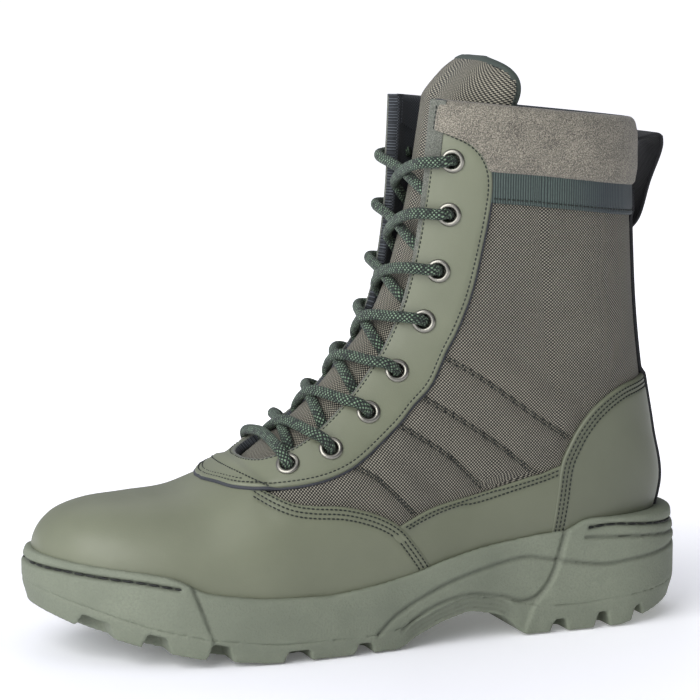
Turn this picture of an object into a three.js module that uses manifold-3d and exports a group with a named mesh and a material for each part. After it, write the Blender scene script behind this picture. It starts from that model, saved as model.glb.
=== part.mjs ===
// A left hiking boot: rubber cup sole, padded cloth upper with leather overlays, laces, tongue and pull loop.
// Millimetres. +X points to the toe, +Y to the outer side, +Z up. The origin is on the floor under the heel.
import * as THREE from "three";
import { mergeVertices } from "three/addons/utils/BufferGeometryUtils.js";
import Module from "manifold-3d";

const wasm = await Module();
wasm.setup();

// Driving sizes
const LENGTH = 304; // sole, heel to toe
const BALL_WIDTH = 107; // sole, across the ball
const HEEL_WIDTH = 80; // sole, across the heel
const HEEL_SEAT = 60; // from the back of the sole to the middle of the heel
const HEEL_REST = 30; // floor to the foot at the heel
const BALL_REST = 13.5; // floor to the foot at the ball
const TOE_SPRING = 18; // rise of the sole to the toe
const INSTEP_HEIGHT = 115; // floor to the top of the instep
const COLLAR_HEIGHT = 240; // floor to the front of the collar
const COLLAR_DIP = 11; // how much lower the collar is at the back
const SHAFT_WIDTH = 78; // across the collar
const UPPER_WALL = 2.4; // cloth, foam and lining
const LEATHER = 2; // vamp, heel counter and eyestay
const SIDE_LEATHER = 1.4; // side panels
const CUFF_WALL = 2.6; // padded collar band
const WEBBING = 1.3; // woven band under the collar
const WEBBING_WIDTH = 13.5;
const OVERLAY_FOOT = 6; // from the foot's underside to the lower edge of the leather
const GAP = 0.3; // between pieces that touch
const INSOLE_WALL = 4;
const INSOLE_INSET = 10; // from the sole's edge
const FILLER_INSET = 27; // from the sole's edge to the filler under the footbed
const TURNED_INSET = 12.5; // from the sole's edge to the upper's turned-in edge
const TONGUE_WALL = 5;
const TONGUE_GAP = 1.6; // tongue to the curve that the upper's flat faces cut across
const TONGUE_RISE = 18; // tongue above the collar
const STRAP_WALL = 1.6; // back strap
const STRAP_WIDTH = 24;
const LOOP_WIDTH = 18;
const LOOP_WALL = 1.8;
const LACE = 4.2; // round lace, diameter
const EYELET_HOLE = 2.8; // radius
const EYELET_WALL = 0.7;
const EYELET_LIP = 1.7; // flange beyond the tube
const EYELET_RIM = 0.9; // height of the flange
const LUG_DEPTH = 7; // notches of the sole's edge
const CHANNEL_DEPTH = 4; // channels of the tread
const CHANNEL_WIDTH = 4;
const RAND_LIP = 1.6; // how far the top of the sole leans in
const TREAD_LEAN = 2.5; // how far the tread leans in

const GIRTH_STEPS = 16; // points round each section
const PAST = 40; // how far a cut runs past the boot
const SIDE_REACH = BALL_WIDTH / 2 + PAST;
const SKY = COLLAR_HEIGHT + 2 * PAST;
const backHeight = COLLAR_HEIGHT - COLLAR_DIP;

// Tables of named columns
const table = (columns, rows) =>
  rows.map((row) => Object.fromEntries(columns.map((name, i) => [name, row[i]])));

// Smooth value of every column at a place along the first one
function along(rows, key, at) {
  const last = rows.length - 1;
  let i = rows.findIndex((row) => row[key] > at) - 1;
  if (i === -2) i = last - 1;
  i = Math.max(0, Math.min(last - 1, i));
  const [a, b] = [rows[i], rows[i + 1]];
  const span = b[key] - a[key];
  const t = Math.max(0, Math.min(1, (at - a[key]) / span));
  const slope = (k, column) => {
    const [p, n] = [rows[Math.max(0, k - 1)], rows[Math.min(last, k + 1)]];
    return (n[column] - p[column]) / (n[key] - p[key]);
  };
  const value = (column) =>
    a[column] * (1 + 2 * t) * (1 - t) ** 2 +
    b[column] * t * t * (3 - 2 * t) +
    span * (slope(i, column) * t * (1 - t) ** 2 - slope(i + 1, column) * t * t * (1 - t));
  return Object.fromEntries(Object.keys(a).map((column) => [column, value(column)]));
}

// Straight-line value of one column at a place along the first one
function straight(rows, key, at, column) {
  const next = rows.find((row) => row[key] >= at) ?? rows[rows.length - 1];
  const before = rows[Math.max(0, rows.indexOf(next) - 1)];
  if (next === before) return next[column];
  const t = Math.min(1, Math.max(0, (at - before[key]) / (next[key] - before[key])));
  return before[column] + t * (next[column] - before[column]);
}

// Sole seen from above: half width as shares of ball and heel width, middle as a share of ball width
const PLAN = table(
  ["at", "ball", "heel", "middle"],
  [
    [0.0, 0.0, 0.5, 0.0],
    [0.14, 0.0, 0.5, 0.009],
    [0.28, 0.03, 0.46, 0.024],
    [0.36, 0.127, 0.35, 0.036],
    [0.46, 0.262, 0.2, 0.04],
    [0.56, 0.405, 0.06, 0.033],
    [0.66, 0.49, 0.0, 0.017],
    [0.725, 0.5, 0.0, 0.0],
    [0.8, 0.484, 0.0, -0.02],
    [0.88, 0.46, 0.0, -0.04],
    [1.0, 0.43, 0.0, -0.054],
  ],
);
const HEEL_ROUND = 0.5 * HEEL_WIDTH; // length of the rounded back
const TOE_ROUND = 0.58 * BALL_WIDTH; // length of the rounded toe

function plan(x) {
  const row = along(PLAN, "at", x / LENGTH);
  const back = Math.max(0, 1 - x / HEEL_ROUND);
  const front = Math.max(0, 1 - (LENGTH - x) / TOE_ROUND);
  const round = Math.sqrt(Math.max(0, 1 - back * back) * Math.max(0, 1 - front * front));
  return {
    half: (row.ball * BALL_WIDTH + row.heel * HEEL_WIDTH) * round,
    middle: row.middle * BALL_WIDTH,
  };
}

// Heights of the sole along its length, as shares of the heel's rest, the ball's rest and the toe spring
const SOLE_LINES = table(
  ["at", "heel", "ball", "toe"],
  [
    [0.0, 1.0, 0.0, 0.0],
    [0.26, 1.0, 0.0, 0.0],
    [0.36, 0.86, 0.0, 0.0],
    [0.46, 0.5, 0.42, 0.0],
    [0.56, 0.12, 0.88, 0.0],
    [0.66, 0.0, 1.0, 0.0],
    [0.75, 0.0, 1.0, 0.08],
    [0.85, 0.0, 1.0, 0.34],
    [0.94, 0.0, 1.0, 0.76],
    [1.0, 0.0, 1.0, 1.14],
  ],
);
// Underside, seam between tread and side wall, and top edge of the side wall
const GROUND = table(
  ["at", "heel", "toe"],
  [
    [0.0, 0.3, 0.0],
    [0.04, 0.24, 0.0],
    [0.09, 0.12, 0.0],
    [0.13, 0.0, 0.0],
    [0.29, 0.0, 0.0],
    [0.305, 0.2, 0.0],
    [0.33, 0.36, 0.0],
    [0.38, 0.46, 0.0],
    [0.43, 0.32, 0.0],
    [0.47, 0.14, 0.0],
    [0.49, 0.0, 0.0],
    [0.68, 0.0, 0.0],
    [0.74, 0.0, 0.09],
    [0.8, 0.0, 0.24],
    [0.86, 0.0, 0.47],
    [0.93, 0.0, 0.82],
    [1.0, 0.0, 1.3],
  ],
);
const SEAM = table(
  ["at", "heel", "toe"],
  [
    [0.0, 0.61, 0.0],
    [0.08, 0.52, 0.0],
    [0.2, 0.42, 0.0],
    [0.27, 0.45, 0.0],
    [0.33, 0.62, 0.0],
    [0.38, 0.7, 0.0],
    [0.44, 0.58, 0.0],
    [0.49, 0.35, 0.0],
    [0.54, 0.283, 0.0],
    [0.68, 0.283, 0.02],
    [0.78, 0.283, 0.24],
    [0.86, 0.283, 0.55],
    [0.93, 0.283, 0.95],
    [1.0, 0.283, 1.35],
  ],
);
const RAND = table(
  ["at", "heel", "toe"],
  [
    [0.0, 1.65, 0.0],
    [0.18, 1.7, 0.0],
    [0.195, 1.68, 0.0],
    [0.215, 1.55, 0.0],
    [0.28, 1.5, 0.0],
    [0.35, 1.42, 0.0],
    [0.41, 1.29, 0.0],
    [0.47, 1.12, 0.0],
    [0.53, 1.0, 0.0],
    [0.6, 0.92, 0.0],
    [0.7, 0.95, 0.02],
    [0.76, 0.97, 0.12],
    [0.785, 0.98, 0.18],
    [0.81, 1.02, 0.36],
    [0.83, 1.05, 0.46],
    [0.87, 1.05, 0.6],
    [0.93, 1.05, 0.78],
    [1.0, 1.05, 1.05],
  ],
);
const riseOf = (rows, x) => {
  const [heel, toe] = ["heel", "toe"].map((column) => straight(rows, "at", x / LENGTH, column));
  return heel * HEEL_REST + toe * TOE_SPRING;
};
const ground = (x) => riseOf(GROUND, x);
const seam = (x) => riseOf(SEAM, x);
const rand = (x) => riseOf(RAND, x);
function rest(x) {
  const row = along(SOLE_LINES, "at", x / LENGTH);
  return row.heel * HEEL_REST + row.ball * BALL_REST + row.toe * TOE_SPRING;
}

// The last, as sections that fan from the toe over the instep and up the shaft. Each runs from the
// underside or back to the ridge: ends as shares of length and height, half width and middle as shares
// of a width, the height of its widest place, the fullness below and above, and stations to the next.
const FOOT = table(
  ["ridgeX", "ridge", "underX", "half", "middle", "widest", "low", "high", "steps"],
  [
    [0.981, 0.412, 0.981, 0.056, -0.052, 0.45, 2.6, 2.3, 1],
    [0.976, 0.458, 0.977, 0.108, -0.05, 0.42, 2.8, 2.4, 1],
    [0.961, 0.502, 0.963, 0.18, -0.048, 0.4, 3.2, 2.4, 1],
    [0.937, 0.536, 0.939, 0.26, -0.044, 0.38, 3.6, 2.45, 1],
    [0.896, 0.56, 0.898, 0.341, -0.039, 0.36, 4.0, 2.45, 1],
    [0.839, 0.572, 0.842, 0.402, -0.03, 0.34, 4.2, 2.4, 1],
    [0.77, 0.596, 0.773, 0.432, -0.013, 0.33, 4.4, 2.35, 1],
    [0.697, 0.69, 0.691, 0.441, 0.007, 0.33, 4.4, 2.25, 1],
    [0.645, 0.809, 0.579, 0.411, 0.026, 0.33, 4.2, 2.15, 1],
    [0.605, 0.904, 0.461, 0.379, 0.037, 0.34, 4.0, 2.15, 1],
    [0.571, 1.0, 0.342, 0.355, 0.034, 0.36, 3.6, 2.2, 1],
  ],
);
const SHAFT = table(
  ["ridgeX", "ridge", "backX", "back", "half", "middle", "widest", "low", "high", "steps"],
  [
    [0.538, 0.096, 0.21, 0, 0.474, 0.032, 0.38, 3.1, 2.3, 1],
    [0.508, 0.188, 0.082, 0.007, 0.468, 0.028, 0.41, 2.6, 2.4, 2],
    [0.485, 0.288, 0.03, 0.14, 0.469, 0.02, 0.44, 2.25, 2.5, 1],
    [0.467, 0.4, 0.041, 0.276, 0.474, 0.015, 0.47, 2.2, 2.6, 1],
    [0.454, 0.528, 0.0575, 0.417, 0.479, 0.01, 0.48, 2.2, 2.7, 1],
    [0.445, 0.66, 0.0685, 0.563, 0.486, 0.006, 0.49, 2.2, 2.75, 1],
    [0.44, 0.784, 0.0745, 0.713, 0.492, 0.004, 0.5, 2.2, 2.8, 1],
    [0.437, 0.904, 0.078, 0.86, 0.499, 0.003, 0.5, 2.2, 2.8, 1],
    [0.436, 1, 0.079, 1, 0.503, 0, 0.5, 2.2, 2.8, 1],
    [0.436, 1.12, 0.081, 1.138, 0.506, 0, 0.5, 2.2, 2.8, 0],
  ],
);
const shaftRise = COLLAR_HEIGHT - INSTEP_HEIGHT;
const backRise = backHeight - HEEL_REST;
const SECTIONS = [
  ...FOOT.map((row) => ({
    ridgeX: row.ridgeX * LENGTH,
    ridgeZ: row.ridge * INSTEP_HEIGHT,
    underX: row.underX * LENGTH,
    underZ: rest(row.underX * LENGTH),
    half: row.half * BALL_WIDTH,
    middle: row.middle * BALL_WIDTH,
    widest: row.widest,
    low: row.low,
    high: row.high,
    steps: row.steps,
  })),
  ...SHAFT.map((row) => ({
    ridgeX: row.ridgeX * LENGTH,
    ridgeZ: INSTEP_HEIGHT + row.ridge * shaftRise,
    underX: row.backX * LENGTH,
    underZ: HEEL_REST + row.back * backRise,
    half: row.half * SHAFT_WIDTH,
    middle: row.middle * SHAFT_WIDTH,
    widest: row.widest,
    low: row.low,
    high: row.high,
    steps: row.steps,
  })),
];
const COLLAR = SECTIONS.length - 2; // place of the collar along the sections
const LAST_SECTION = SECTIONS.length - 1;

// Section values at any place between two rows
function sectionAt(place) {
  const u = Math.min(LAST_SECTION, Math.max(0, place));
  const i = Math.min(LAST_SECTION - 1, Math.floor(u));
  const t = u - i;
  const [b, c] = [SECTIONS[i], SECTIONS[i + 1]];
  const [a, d] = [SECTIONS[i - 1], SECTIONS[i + 2]];
  const made = {};
  for (const key of Object.keys(b)) {
    const before = a ? a[key] : 2 * b[key] - c[key];
    const after = d ? d[key] : 2 * c[key] - b[key];
    made[key] =
      b[key] +
      0.5 * t * (c[key] - before) +
      t * t * (before - 2.5 * b[key] + 2 * c[key] - 0.5 * after) +
      0.5 * t ** 3 * (3 * b[key] - before - 3 * c[key] + after);
  }
  return made;
}

// Point of the last. Turn 0 is the ridge, 0.25 the outer side, 0.5 the underside or back
function lastPoint(place, turn) {
  const s = sectionAt(place);
  const angle = 2 * Math.PI * turn;
  const [c, n] = [Math.cos(angle), Math.sin(angle)];
  const full = c >= 0 ? s.high : s.low;
  const rise = Math.abs(c) ** (2 / full);
  const share = c >= 0 ? s.widest + (1 - s.widest) * rise : s.widest * (1 - rise);
  return new THREE.Vector3(
    s.underX + share * (s.ridgeX - s.underX),
    s.middle + s.half * Math.sign(n) * Math.abs(n) ** (2 / full),
    s.underZ + share * (s.ridgeZ - s.underZ),
  );
}
function lastNormal(place, turn) {
  const step = 1e-3;
  const ahead = lastPoint(place + step, turn).sub(lastPoint(place - step, turn));
  const round = lastPoint(place, turn + step).sub(lastPoint(place, turn - step));
  return round.cross(ahead).normalize();
}
const offLast = (place, turn, out) =>
  lastPoint(place, turn).addScaledVector(lastNormal(place, turn), out);

// Solids
function solidOf(geometry) {
  const bare = geometry.index ? geometry.toNonIndexed() : geometry.clone();
  for (const name of ["normal", "uv"]) bare.deleteAttribute(name);
  const merged = mergeVertices(bare, 1e-4);
  return new wasm.Manifold(
    new wasm.Mesh({
      numProp: 3,
      vertProperties: merged.attributes.position.array,
      triVerts: new Uint32Array(merged.index.array),
    }),
  );
}
function meshOf(name, solid, material) {
  const made = solid.getMesh();
  const places = new Float32Array(made.numVert * 3);
  for (let i = 0; i < made.numVert; i++) {
    const from = i * made.numProp;
    places.set(made.vertProperties.subarray(from, from + 3), i * 3);
  }
  const geometry = new THREE.BufferGeometry()
    .setAttribute("position", new THREE.BufferAttribute(places, 3))
    .setIndex(new THREE.BufferAttribute(new Uint32Array(made.triVerts), 1));
  geometry.computeVertexNormals();
  const mesh = new THREE.Mesh(geometry, material);
  mesh.name = name;
  return mesh;
}

// Closed skin over rings of equal length. Strips across the first and last ring fill the two ends:
// mirror 0 pairs a ring's points about its first one, and mirror 1 about its first edge
function loft(rings, mirror) {
  const count = rings[0].length;
  const places = rings.flat().flatMap((p) => [p.x, p.y, p.z]);
  const across = (i) => (2 * count - i - mirror) % count;
  const quads = [];
  for (let r = 0; r < rings.length - 1; r++)
    for (let i = 0; i < count; i++) {
      const [a, b] = [r * count + i, r * count + ((i + 1) % count)];
      quads.push([a, b, b + count, a + count]);
    }
  const top = (rings.length - 1) * count;
  for (let i = 0; i < (count - mirror) / 2 - mirror / 2; i++) {
    const end = [i, across(i), across(i + 1), i + 1];
    quads.push(end, end.map((k) => k + top).reverse());
  }
  const faces = quads
    .flatMap(([a, b, c, d]) => [[a, b, d], [b, c, d]])
    .filter(([a, b, c]) => a !== b && b !== c && a !== c);
  const geometry = new THREE.BufferGeometry()
    .setAttribute("position", new THREE.Float32BufferAttribute(places, 3))
    .setIndex(faces.flat());
  const solid = solidOf(geometry);
  if (solid.volume() > 0) return solid;
  const turned = rings.map((ring) => [...ring].reverse());
  return loft(mirror ? turned : turned.map((ring) => [ring[count - 1], ...ring.slice(0, -1)]), mirror);
}
const ringLoft = (rings) => loft(rings, 0);
const bandLoft = (rings) => loft(rings, 1);

// The last grown or shrunk along its normals, closed, standing above the collar
function form(out) {
  const rings = [];
  SECTIONS.forEach((row, i) => {
    for (let k = 0; k < Math.max(1, row.steps); k++) {
      const place = i + k / Math.max(1, row.steps);
      rings.push(
        Array.from({ length: GIRTH_STEPS }, (_, j) => offLast(place, j / GIRTH_STEPS, out)),
      );
    }
  });
  return ringLoft(rings);
}
const shell = (low, high) => form(high).subtract(form(low));

// Solid over a strip of the last, from one depth to another: rows give its place and its two edges
function strip(rows, low, high, across = 8) {
  const ring = ({ place, from, to }) => {
    const turns = Array.from({ length: across + 1 }, (_, k) => from + ((to - from) * k) / across);
    return [
      ...turns.map((turn) => offLast(place, turn, high)),
      ...turns.reverse().map((turn) => offLast(place, turn, low)),
    ];
  };
  return bandLoft(rows.map(ring));
}
// Prism through the boot, drawn from the side as points of length and height
function sidePrism(points, low = -SIDE_REACH, high = SIDE_REACH) {
  const shape = new THREE.Shape(points.map(([x, z]) => new THREE.Vector2(x, z)));
  const prism = new THREE.ExtrudeGeometry(shape, { depth: high - low, bevelEnabled: false });
  prism.rotateX(Math.PI / 2).translate(0, high, 0);
  return solidOf(prism);
}
// Stations along the sole, closer together where it curves or steps
const SOLE_STATIONS = [
  0, 0.004, 0.016, 0.04, 0.09, 0.13, 0.18, 0.215, 0.25, 0.29, 0.305, 0.33, 0.38, 0.43, 0.47, 0.49,
  0.55, 0.61, 0.68, 0.74, 0.785, 0.81, 0.86, 0.91, 0.95, 0.98, 0.995, 1,
];
const soleX = SOLE_STATIONS.map((share) => share * LENGTH);

const coarser = (list) => list.filter((_, i) => i % 2 === 1 || i === 0);

// Layer between two heights that follow the length
function layer(low, high) {
  const xs = [-PAST, ...soleX, LENGTH + PAST];
  return sidePrism([...xs.map((x) => [x, low(x)]), ...xs.reverse().map((x) => [x, high(x)])]);
}
// Side outline moved out from itself
function grow(points, out) {
  const area = THREE.ShapeUtils.area(points.map(([x, z]) => new THREE.Vector2(x, z)));
  const side = Math.sign(area) * out;
  return points.map(([x, z], i) => {
    const [px, pz] = points[(i + points.length - 1) % points.length];
    const [nx, nz] = points[(i + 1) % points.length];
    const [a, b] = [new THREE.Vector2(x - px, z - pz), new THREE.Vector2(nx - x, nz - z)];
    const way = a.normalize().add(b.normalize()).normalize();
    return [x + way.y * side, z - way.x * side];
  });
}

// Sole outline from above, moved in from its edge: outer side to the toe, then back along the inner side
function outline(inset, height, stations = soleX) {
  const edge = (x, side) => {
    const { half, middle } = plan(x);
    return new THREE.Vector2(x, middle + side * half);
  };
  const ring = [
    ...stations.map((x) => edge(x, 1)),
    ...stations.slice(1, -1).reverse().map((x) => edge(x, -1)),
  ];
  return ring.map((p, i) => {
    const next = ring[(i + 1) % ring.length];
    const before = ring[(i + ring.length - 1) % ring.length];
    const way = next.clone().sub(before).normalize();
    const x = p.x + way.y * inset;
    return new THREE.Vector3(x, p.y - way.x * inset, height(x));
  });
}

// Sole
const SIDE_NOTCHES = table(
  ["at", "wide"],
  [
    [0.063, 0.012],
    [0.118, 0.02],
    [0.205, 0.026],
    [0.555, 0.024],
    [0.63, 0.04],
    [0.73, 0.046],
    [0.823, 0.05],
    [0.91, 0.04],
  ],
);
const LUG_REACH = 15; // from the middle of the tread to its side lugs
const LUG_TAPER = 2; // how much wider a notch is at the floor, each side
const ZIGZAG = 1.75; // sideways step of a long channel
const CHANNEL_STEPS = 5;
function sideNotch({ at, wide }, side) {
  const [x, half] = [at * LENGTH, 0.5 * wide * LENGTH];
  const floor = ground(x);
  const near = plan(x).middle + side * LUG_REACH;
  const [low, high] = side > 0 ? [near, SIDE_REACH] : [-SIDE_REACH, near];
  return sidePrism(
    [
      [x - half - LUG_TAPER, floor - LUG_DEPTH],
      [x + half + LUG_TAPER, floor - LUG_DEPTH],
      [x + half, floor + LUG_DEPTH],
      [x - half, floor + LUG_DEPTH],
    ],
    low,
    high,
  );
}
// A channel along the tread, between the side lugs and the middle ones
function longChannel(from, to, side) {
  const rings = Array.from({ length: CHANNEL_STEPS + 1 }, (_, i) => {
    const x = LENGTH * (from + ((to - from) * i) / CHANNEL_STEPS);
    const y = plan(x).middle + side * (LUG_REACH + (i % 2 ? ZIGZAG : -ZIGZAG));
    const [near, far] = [y - CHANNEL_WIDTH / 2, y + CHANNEL_WIDTH / 2];
    const top = ground(x) + CHANNEL_DEPTH;
    return [
      [near, top],
      [far, top],
      [far, top - 3 * CHANNEL_DEPTH],
      [near, top - 3 * CHANNEL_DEPTH],
    ].map(([width, height]) => new THREE.Vector3(x, width, height));
  });
  return bandLoft(rings);
}
function crossChannel(at) {
  const x = at * LENGTH;
  const top = ground(x) + CHANNEL_DEPTH;
  const half = CHANNEL_WIDTH / 2;
  const middle = plan(x).middle;
  return sidePrism(
    [
      [x - half, top - 3 * CHANNEL_DEPTH],
      [x + half, top - 3 * CHANNEL_DEPTH],
      [x + half, top],
      [x - half, top],
    ],
    middle - LUG_REACH,
    middle + LUG_REACH,
  );
}
const CROSS_CHANNELS = [0.1, 0.265, 0.59, 0.68, 0.775, 0.87];
const LONG_CHANNELS = [[0.07, 0.28], [0.53, 0.93]];
function makeOutsole() {
  let tread = ringLoft([outline(TREAD_LEAN, ground), outline(0, seam)]);
  for (const side of [1, -1]) {
    for (const notch of SIDE_NOTCHES) tread = tread.subtract(sideNotch(notch, side));
    for (const [from, to] of LONG_CHANNELS) tread = tread.subtract(longChannel(from, to, side));
  }
  for (const at of CROSS_CHANNELS) tread = tread.subtract(crossChannel(at));
  return tread;
}

// Curved grooves of the side wall, as heights along the length
const WALL_GROOVES = [
  table(
    ["at", "rise"],
    [
      [0.03, 1.13],
      [0.1, 1.02],
      [0.17, 1.0],
      [0.24, 1.12],
      [0.3, 1.2],
      [0.37, 1.07],
      [0.43, 0.87],
      [0.49, 0.58],
      [0.525, 0.4],
    ],
  ),
  table(
    ["at", "rise"],
    [
      [0.222, 1.42],
      [0.238, 1.1],
      [0.255, 0.84],
      [0.28, 0.68],
      [0.32, 0.72],
      [0.38, 0.83],
      [0.44, 0.68],
      [0.485, 0.5],
    ],
  ),
];
const GROOVE_WIDTH = 1.1;
const GROOVE_DEPTH = 0.9;
const SHOULDER = 0.6; // where the side wall starts to lean in, as a share of its height
function wallGroove(rows, side) {
  const rings = rows.map(({ at, rise }) => {
    const x = at * LENGTH;
    const { half, middle } = plan(x);
    const height = rise * HEEL_REST;
    const ring = [
      [half + GROOVE_DEPTH, GROOVE_WIDTH / 2],
      [half + GROOVE_DEPTH, -GROOVE_WIDTH / 2],
      [half - GROOVE_DEPTH, -GROOVE_WIDTH / 4],
      [half - GROOVE_DEPTH, GROOVE_WIDTH / 4],
    ];
    return ring.map(([y, z]) => new THREE.Vector3(x, middle + side * y, height + z));
  });
  return bandLoft(rings);
}
function makeMidsole() {
  const wall = ringLoft([
    outline(0, (x) => seam(x) + GAP),
    outline(0, (x) => seam(x) + SHOULDER * (rand(x) - seam(x))),
    outline(RAND_LIP, rand),
  ]);
  const foot = form(LEATHER + 2 * GAP).intersect(layer((x) => rest(x) - GAP, () => SKY));
  let made = wall.subtract(foot);
  for (const side of [1, -1])
    for (const rows of WALL_GROOVES) made = made.subtract(wallGroove(rows, side));
  return made;
}
// The footbed lies on the upper's turned-in edge, with a filler in the opening inside it
function makeInsole() {
  const pad = (inset, low, high) =>
    ringLoft([low, high].map((more) => outline(inset, (x) => rest(x) + more)));
  const under = UPPER_WALL + GAP;
  const bed = pad(INSOLE_INSET, under, under + INSOLE_WALL).intersect(form(-under));
  return bed.add(pad(FILLER_INSET, GAP, under + INSOLE_WALL / 4));
}

// Outlines of the pieces seen from the side, as shares of length and collar height
const scaled = (rows) => rows.map(([x, z]) => [x * LENGTH, z * COLLAR_HEIGHT]);
const VAMP = scaled([
  [1.08, -0.05],
  [1.08, 0.5],
  [0.688, 0.5],
  [0.688, 0.292],
  [0.674, 0.296],
  [0.648, 0.281],
  [0.618, 0.275],
  [0.576, 0.271],
  [0.536, 0.258],
  [0.507, 0.242],
  [0.484, 0.221],
  [0.464, 0.19],
  [0.441, 0.15],
  [0.418, 0.105],
  [0.405, -0.05],
]);
const HEEL_PIECE = scaled([
  [-0.05, -0.05],
  [0.25, -0.05],
  [0.248, 0.12],
  [0.243, 0.196],
  [0.237, 0.258],
  [0.23, 0.317],
  [0.22, 0.346],
  [0.2, 0.388],
  [0.171, 0.425],
  [0.128, 0.454],
  [0.082, 0.464],
  [-0.05, 0.468],
]);
const SIDE_PIECE = scaled([
  [0.1, -0.05],
  [0.6, -0.05],
  [0.6, 0.18],
  [0.48, 0.233],
  [0.431, 0.258],
  [0.362, 0.275],
  [0.276, 0.3],
  [0.2, 0.327],
  [0.1, 0.36],
]);
const CUFF_LINE = scaled([
  [-0.05, 0.822],
  [0.095, 0.829],
  [0.194, 0.846],
  [0.27, 0.858],
  [0.345, 0.867],
  [0.55, 0.88],
]);
const collarBack = SECTIONS[COLLAR].underX;
const collarFront = SECTIONS[COLLAR].ridgeX;
const collarAt = (x) =>
  backHeight + (COLLAR_DIP * (x - collarBack)) / (collarFront - collarBack);
const belowCollar = () =>
  sidePrism([
    [-PAST, -PAST],
    [LENGTH + PAST, -PAST],
    [LENGTH + PAST, collarAt(LENGTH + PAST)],
    [-PAST, collarAt(-PAST)],
  ]);

// Half angles of the throat and of the eyestay's outer edge, by place along the sections
const THROAT = table(
  ["place", "turn"],
  [
    [7.22, 0.012],
    [7.32, 0.036],
    [7.55, 0.06],
    [8.1, 0.082],
    [8.9, 0.088],
    [10.4, 0.087],
    [11.5, 0.08],
    [12.3, 0.076],
    [14.0, 0.076],
    [16.0, 0.077],
    [18.0, 0.083],
    [19.0, 0.088],
    [20.0, 0.092],
  ],
);
const EYESTAY = table(
  ["place", "turn"],
  [
    [6.38, 0.012],
    [6.48, 0.037],
    [6.75, 0.08],
    [7.28, 0.114],
    [8.08, 0.145],
    [9.1, 0.16],
    [10.45, 0.156],
    [11.4, 0.149],
    [12.7, 0.147],
    [14.35, 0.17],
    [15.6, 0.184],
    [16.55, 0.194],
    [17.0, 0.197],
    [17.4, 0.194],
    [17.73, 0.182],
    [17.95, 0.162],
    [18.05, 0.135],
  ],
);
const bothSides = (rows, more = 0) =>
  rows.map(({ place, turn }) => ({ place, from: -turn - more, to: turn + more }));
const EYESTAY_MARGIN = 0.003; // turns, about the gap between two pieces
const throat = strip(bothSides(THROAT), -3 * UPPER_WALL, 3 * UPPER_WALL, 10);
const eyestayArea = strip(bothSides(EYESTAY), -LEATHER, 3 * LEATHER, 12);
const eyestayRoom = strip(
  bothSides(EYESTAY, EYESTAY_MARGIN).map((row, i) => ({
    ...row,
    place: row.place + (i === 0 ? -0.02 : i === EYESTAY.length - 1 ? 0.04 : 0),
  })),
  -LEATHER,
  3 * LEATHER,
  12,
);

// Eyelets, from the bottom pair to the top one
const EYELETS = table(
  ["place", "turn"],
  [
    [7.9, 0.103],
    [8.95, 0.124],
    [10.25, 0.122],
    [11.55, 0.111],
    [13.12, 0.114],
    [14.53, 0.124],
    [15.95, 0.133],
    [17.3, 0.135],
  ],
);
const UP = new THREE.Vector3(0, 1, 0);
function seatOn(geometry, place, turn, out) {
  const way = lastNormal(place, turn);
  const at = lastPoint(place, turn).addScaledVector(way, out);
  const turned = new THREE.Quaternion().setFromUnitVectors(UP, way);
  return geometry.clone().applyQuaternion(turned).translate(at.x, at.y, at.z);
}
const eyeletTube = EYELET_HOLE + EYELET_WALL;
const punch = eyeletTube + 3 * GAP;
const punchTool = new THREE.CylinderGeometry(punch, punch, 6 * (UPPER_WALL + LEATHER) / 2, 6);
const flangeSeat = 2 * GAP + LEATHER;
const eyeletDepth = flangeSeat + UPPER_WALL;
const eyeletShape = new THREE.LatheGeometry(
  [
    [EYELET_HOLE, -eyeletDepth],
    [eyeletTube, -eyeletDepth],
    [eyeletTube, 0],
    [eyeletTube + EYELET_LIP, 0],
    [eyeletTube, EYELET_RIM],
    [EYELET_HOLE, -eyeletDepth],
  ].map(([r, h]) => new THREE.Vector2(r, h)),
  8,
);
function punched(solid) {
  for (const { place, turn } of EYELETS)
    for (const side of [1, -1])
      solid = solid.subtract(solidOf(seatOn(punchTool, place, side * turn, 0)));
  return solid;
}

// Upper and its overlays
function makeUpper() {
  const stations = coarser(soleX);
  const opening = ringLoft([
    outline(TURNED_INSET, () => 0, stations),
    outline(TURNED_INSET, (x) => rest(x) + 1.6 * UPPER_WALL, stations),
  ]);
  const wall = shell(-UPPER_WALL, 0).intersect(belowCollar());
  return punched(wall.subtract(throat).subtract(opening));
}
const onSides = (wall) =>
  shell(GAP, GAP + wall).intersect(layer((x) => rest(x) + OVERLAY_FOOT, () => SKY));
const makeVamp = () => onSides(LEATHER).intersect(sidePrism(VAMP)).subtract(eyestayRoom);
const makeEyestay = () =>
  punched(shell(GAP, GAP + LEATHER).intersect(eyestayArea).subtract(throat));
const strapFoot = rand(HEEL_SEAT) + GAP;
const strapTop = CUFF_LINE[0][1] - GAP;
const backStrapRoom = (more) =>
  sidePrism(
    [
      [-PAST, strapFoot - more],
      [HEEL_SEAT, strapFoot - more],
      [HEEL_SEAT, strapTop + more],
      [-PAST, strapTop + more],
    ],
    -STRAP_WIDTH / 2 - more,
    STRAP_WIDTH / 2 + more,
  );
const WHOLE = [[-PAST, -PAST], [LENGTH + PAST, -PAST], [LENGTH + PAST, SKY], [-PAST, SKY]];
const oneSide = (side) => sidePrism(WHOLE, ...(side > 0 ? [0, SIDE_REACH] : [-SIDE_REACH, 0]));
const makeCounter = (side) =>
  onSides(LEATHER)
    .intersect(sidePrism(HEEL_PIECE))
    .intersect(oneSide(side))
    .subtract(backStrapRoom(GAP));
const makeSidePanel = (side) =>
  onSides(SIDE_LEATHER)
    .intersect(sidePrism(SIDE_PIECE))
    .intersect(oneSide(side))
    .subtract(sidePrism(grow(VAMP, GAP)))
    .subtract(sidePrism(grow(HEEL_PIECE, GAP)));
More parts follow.
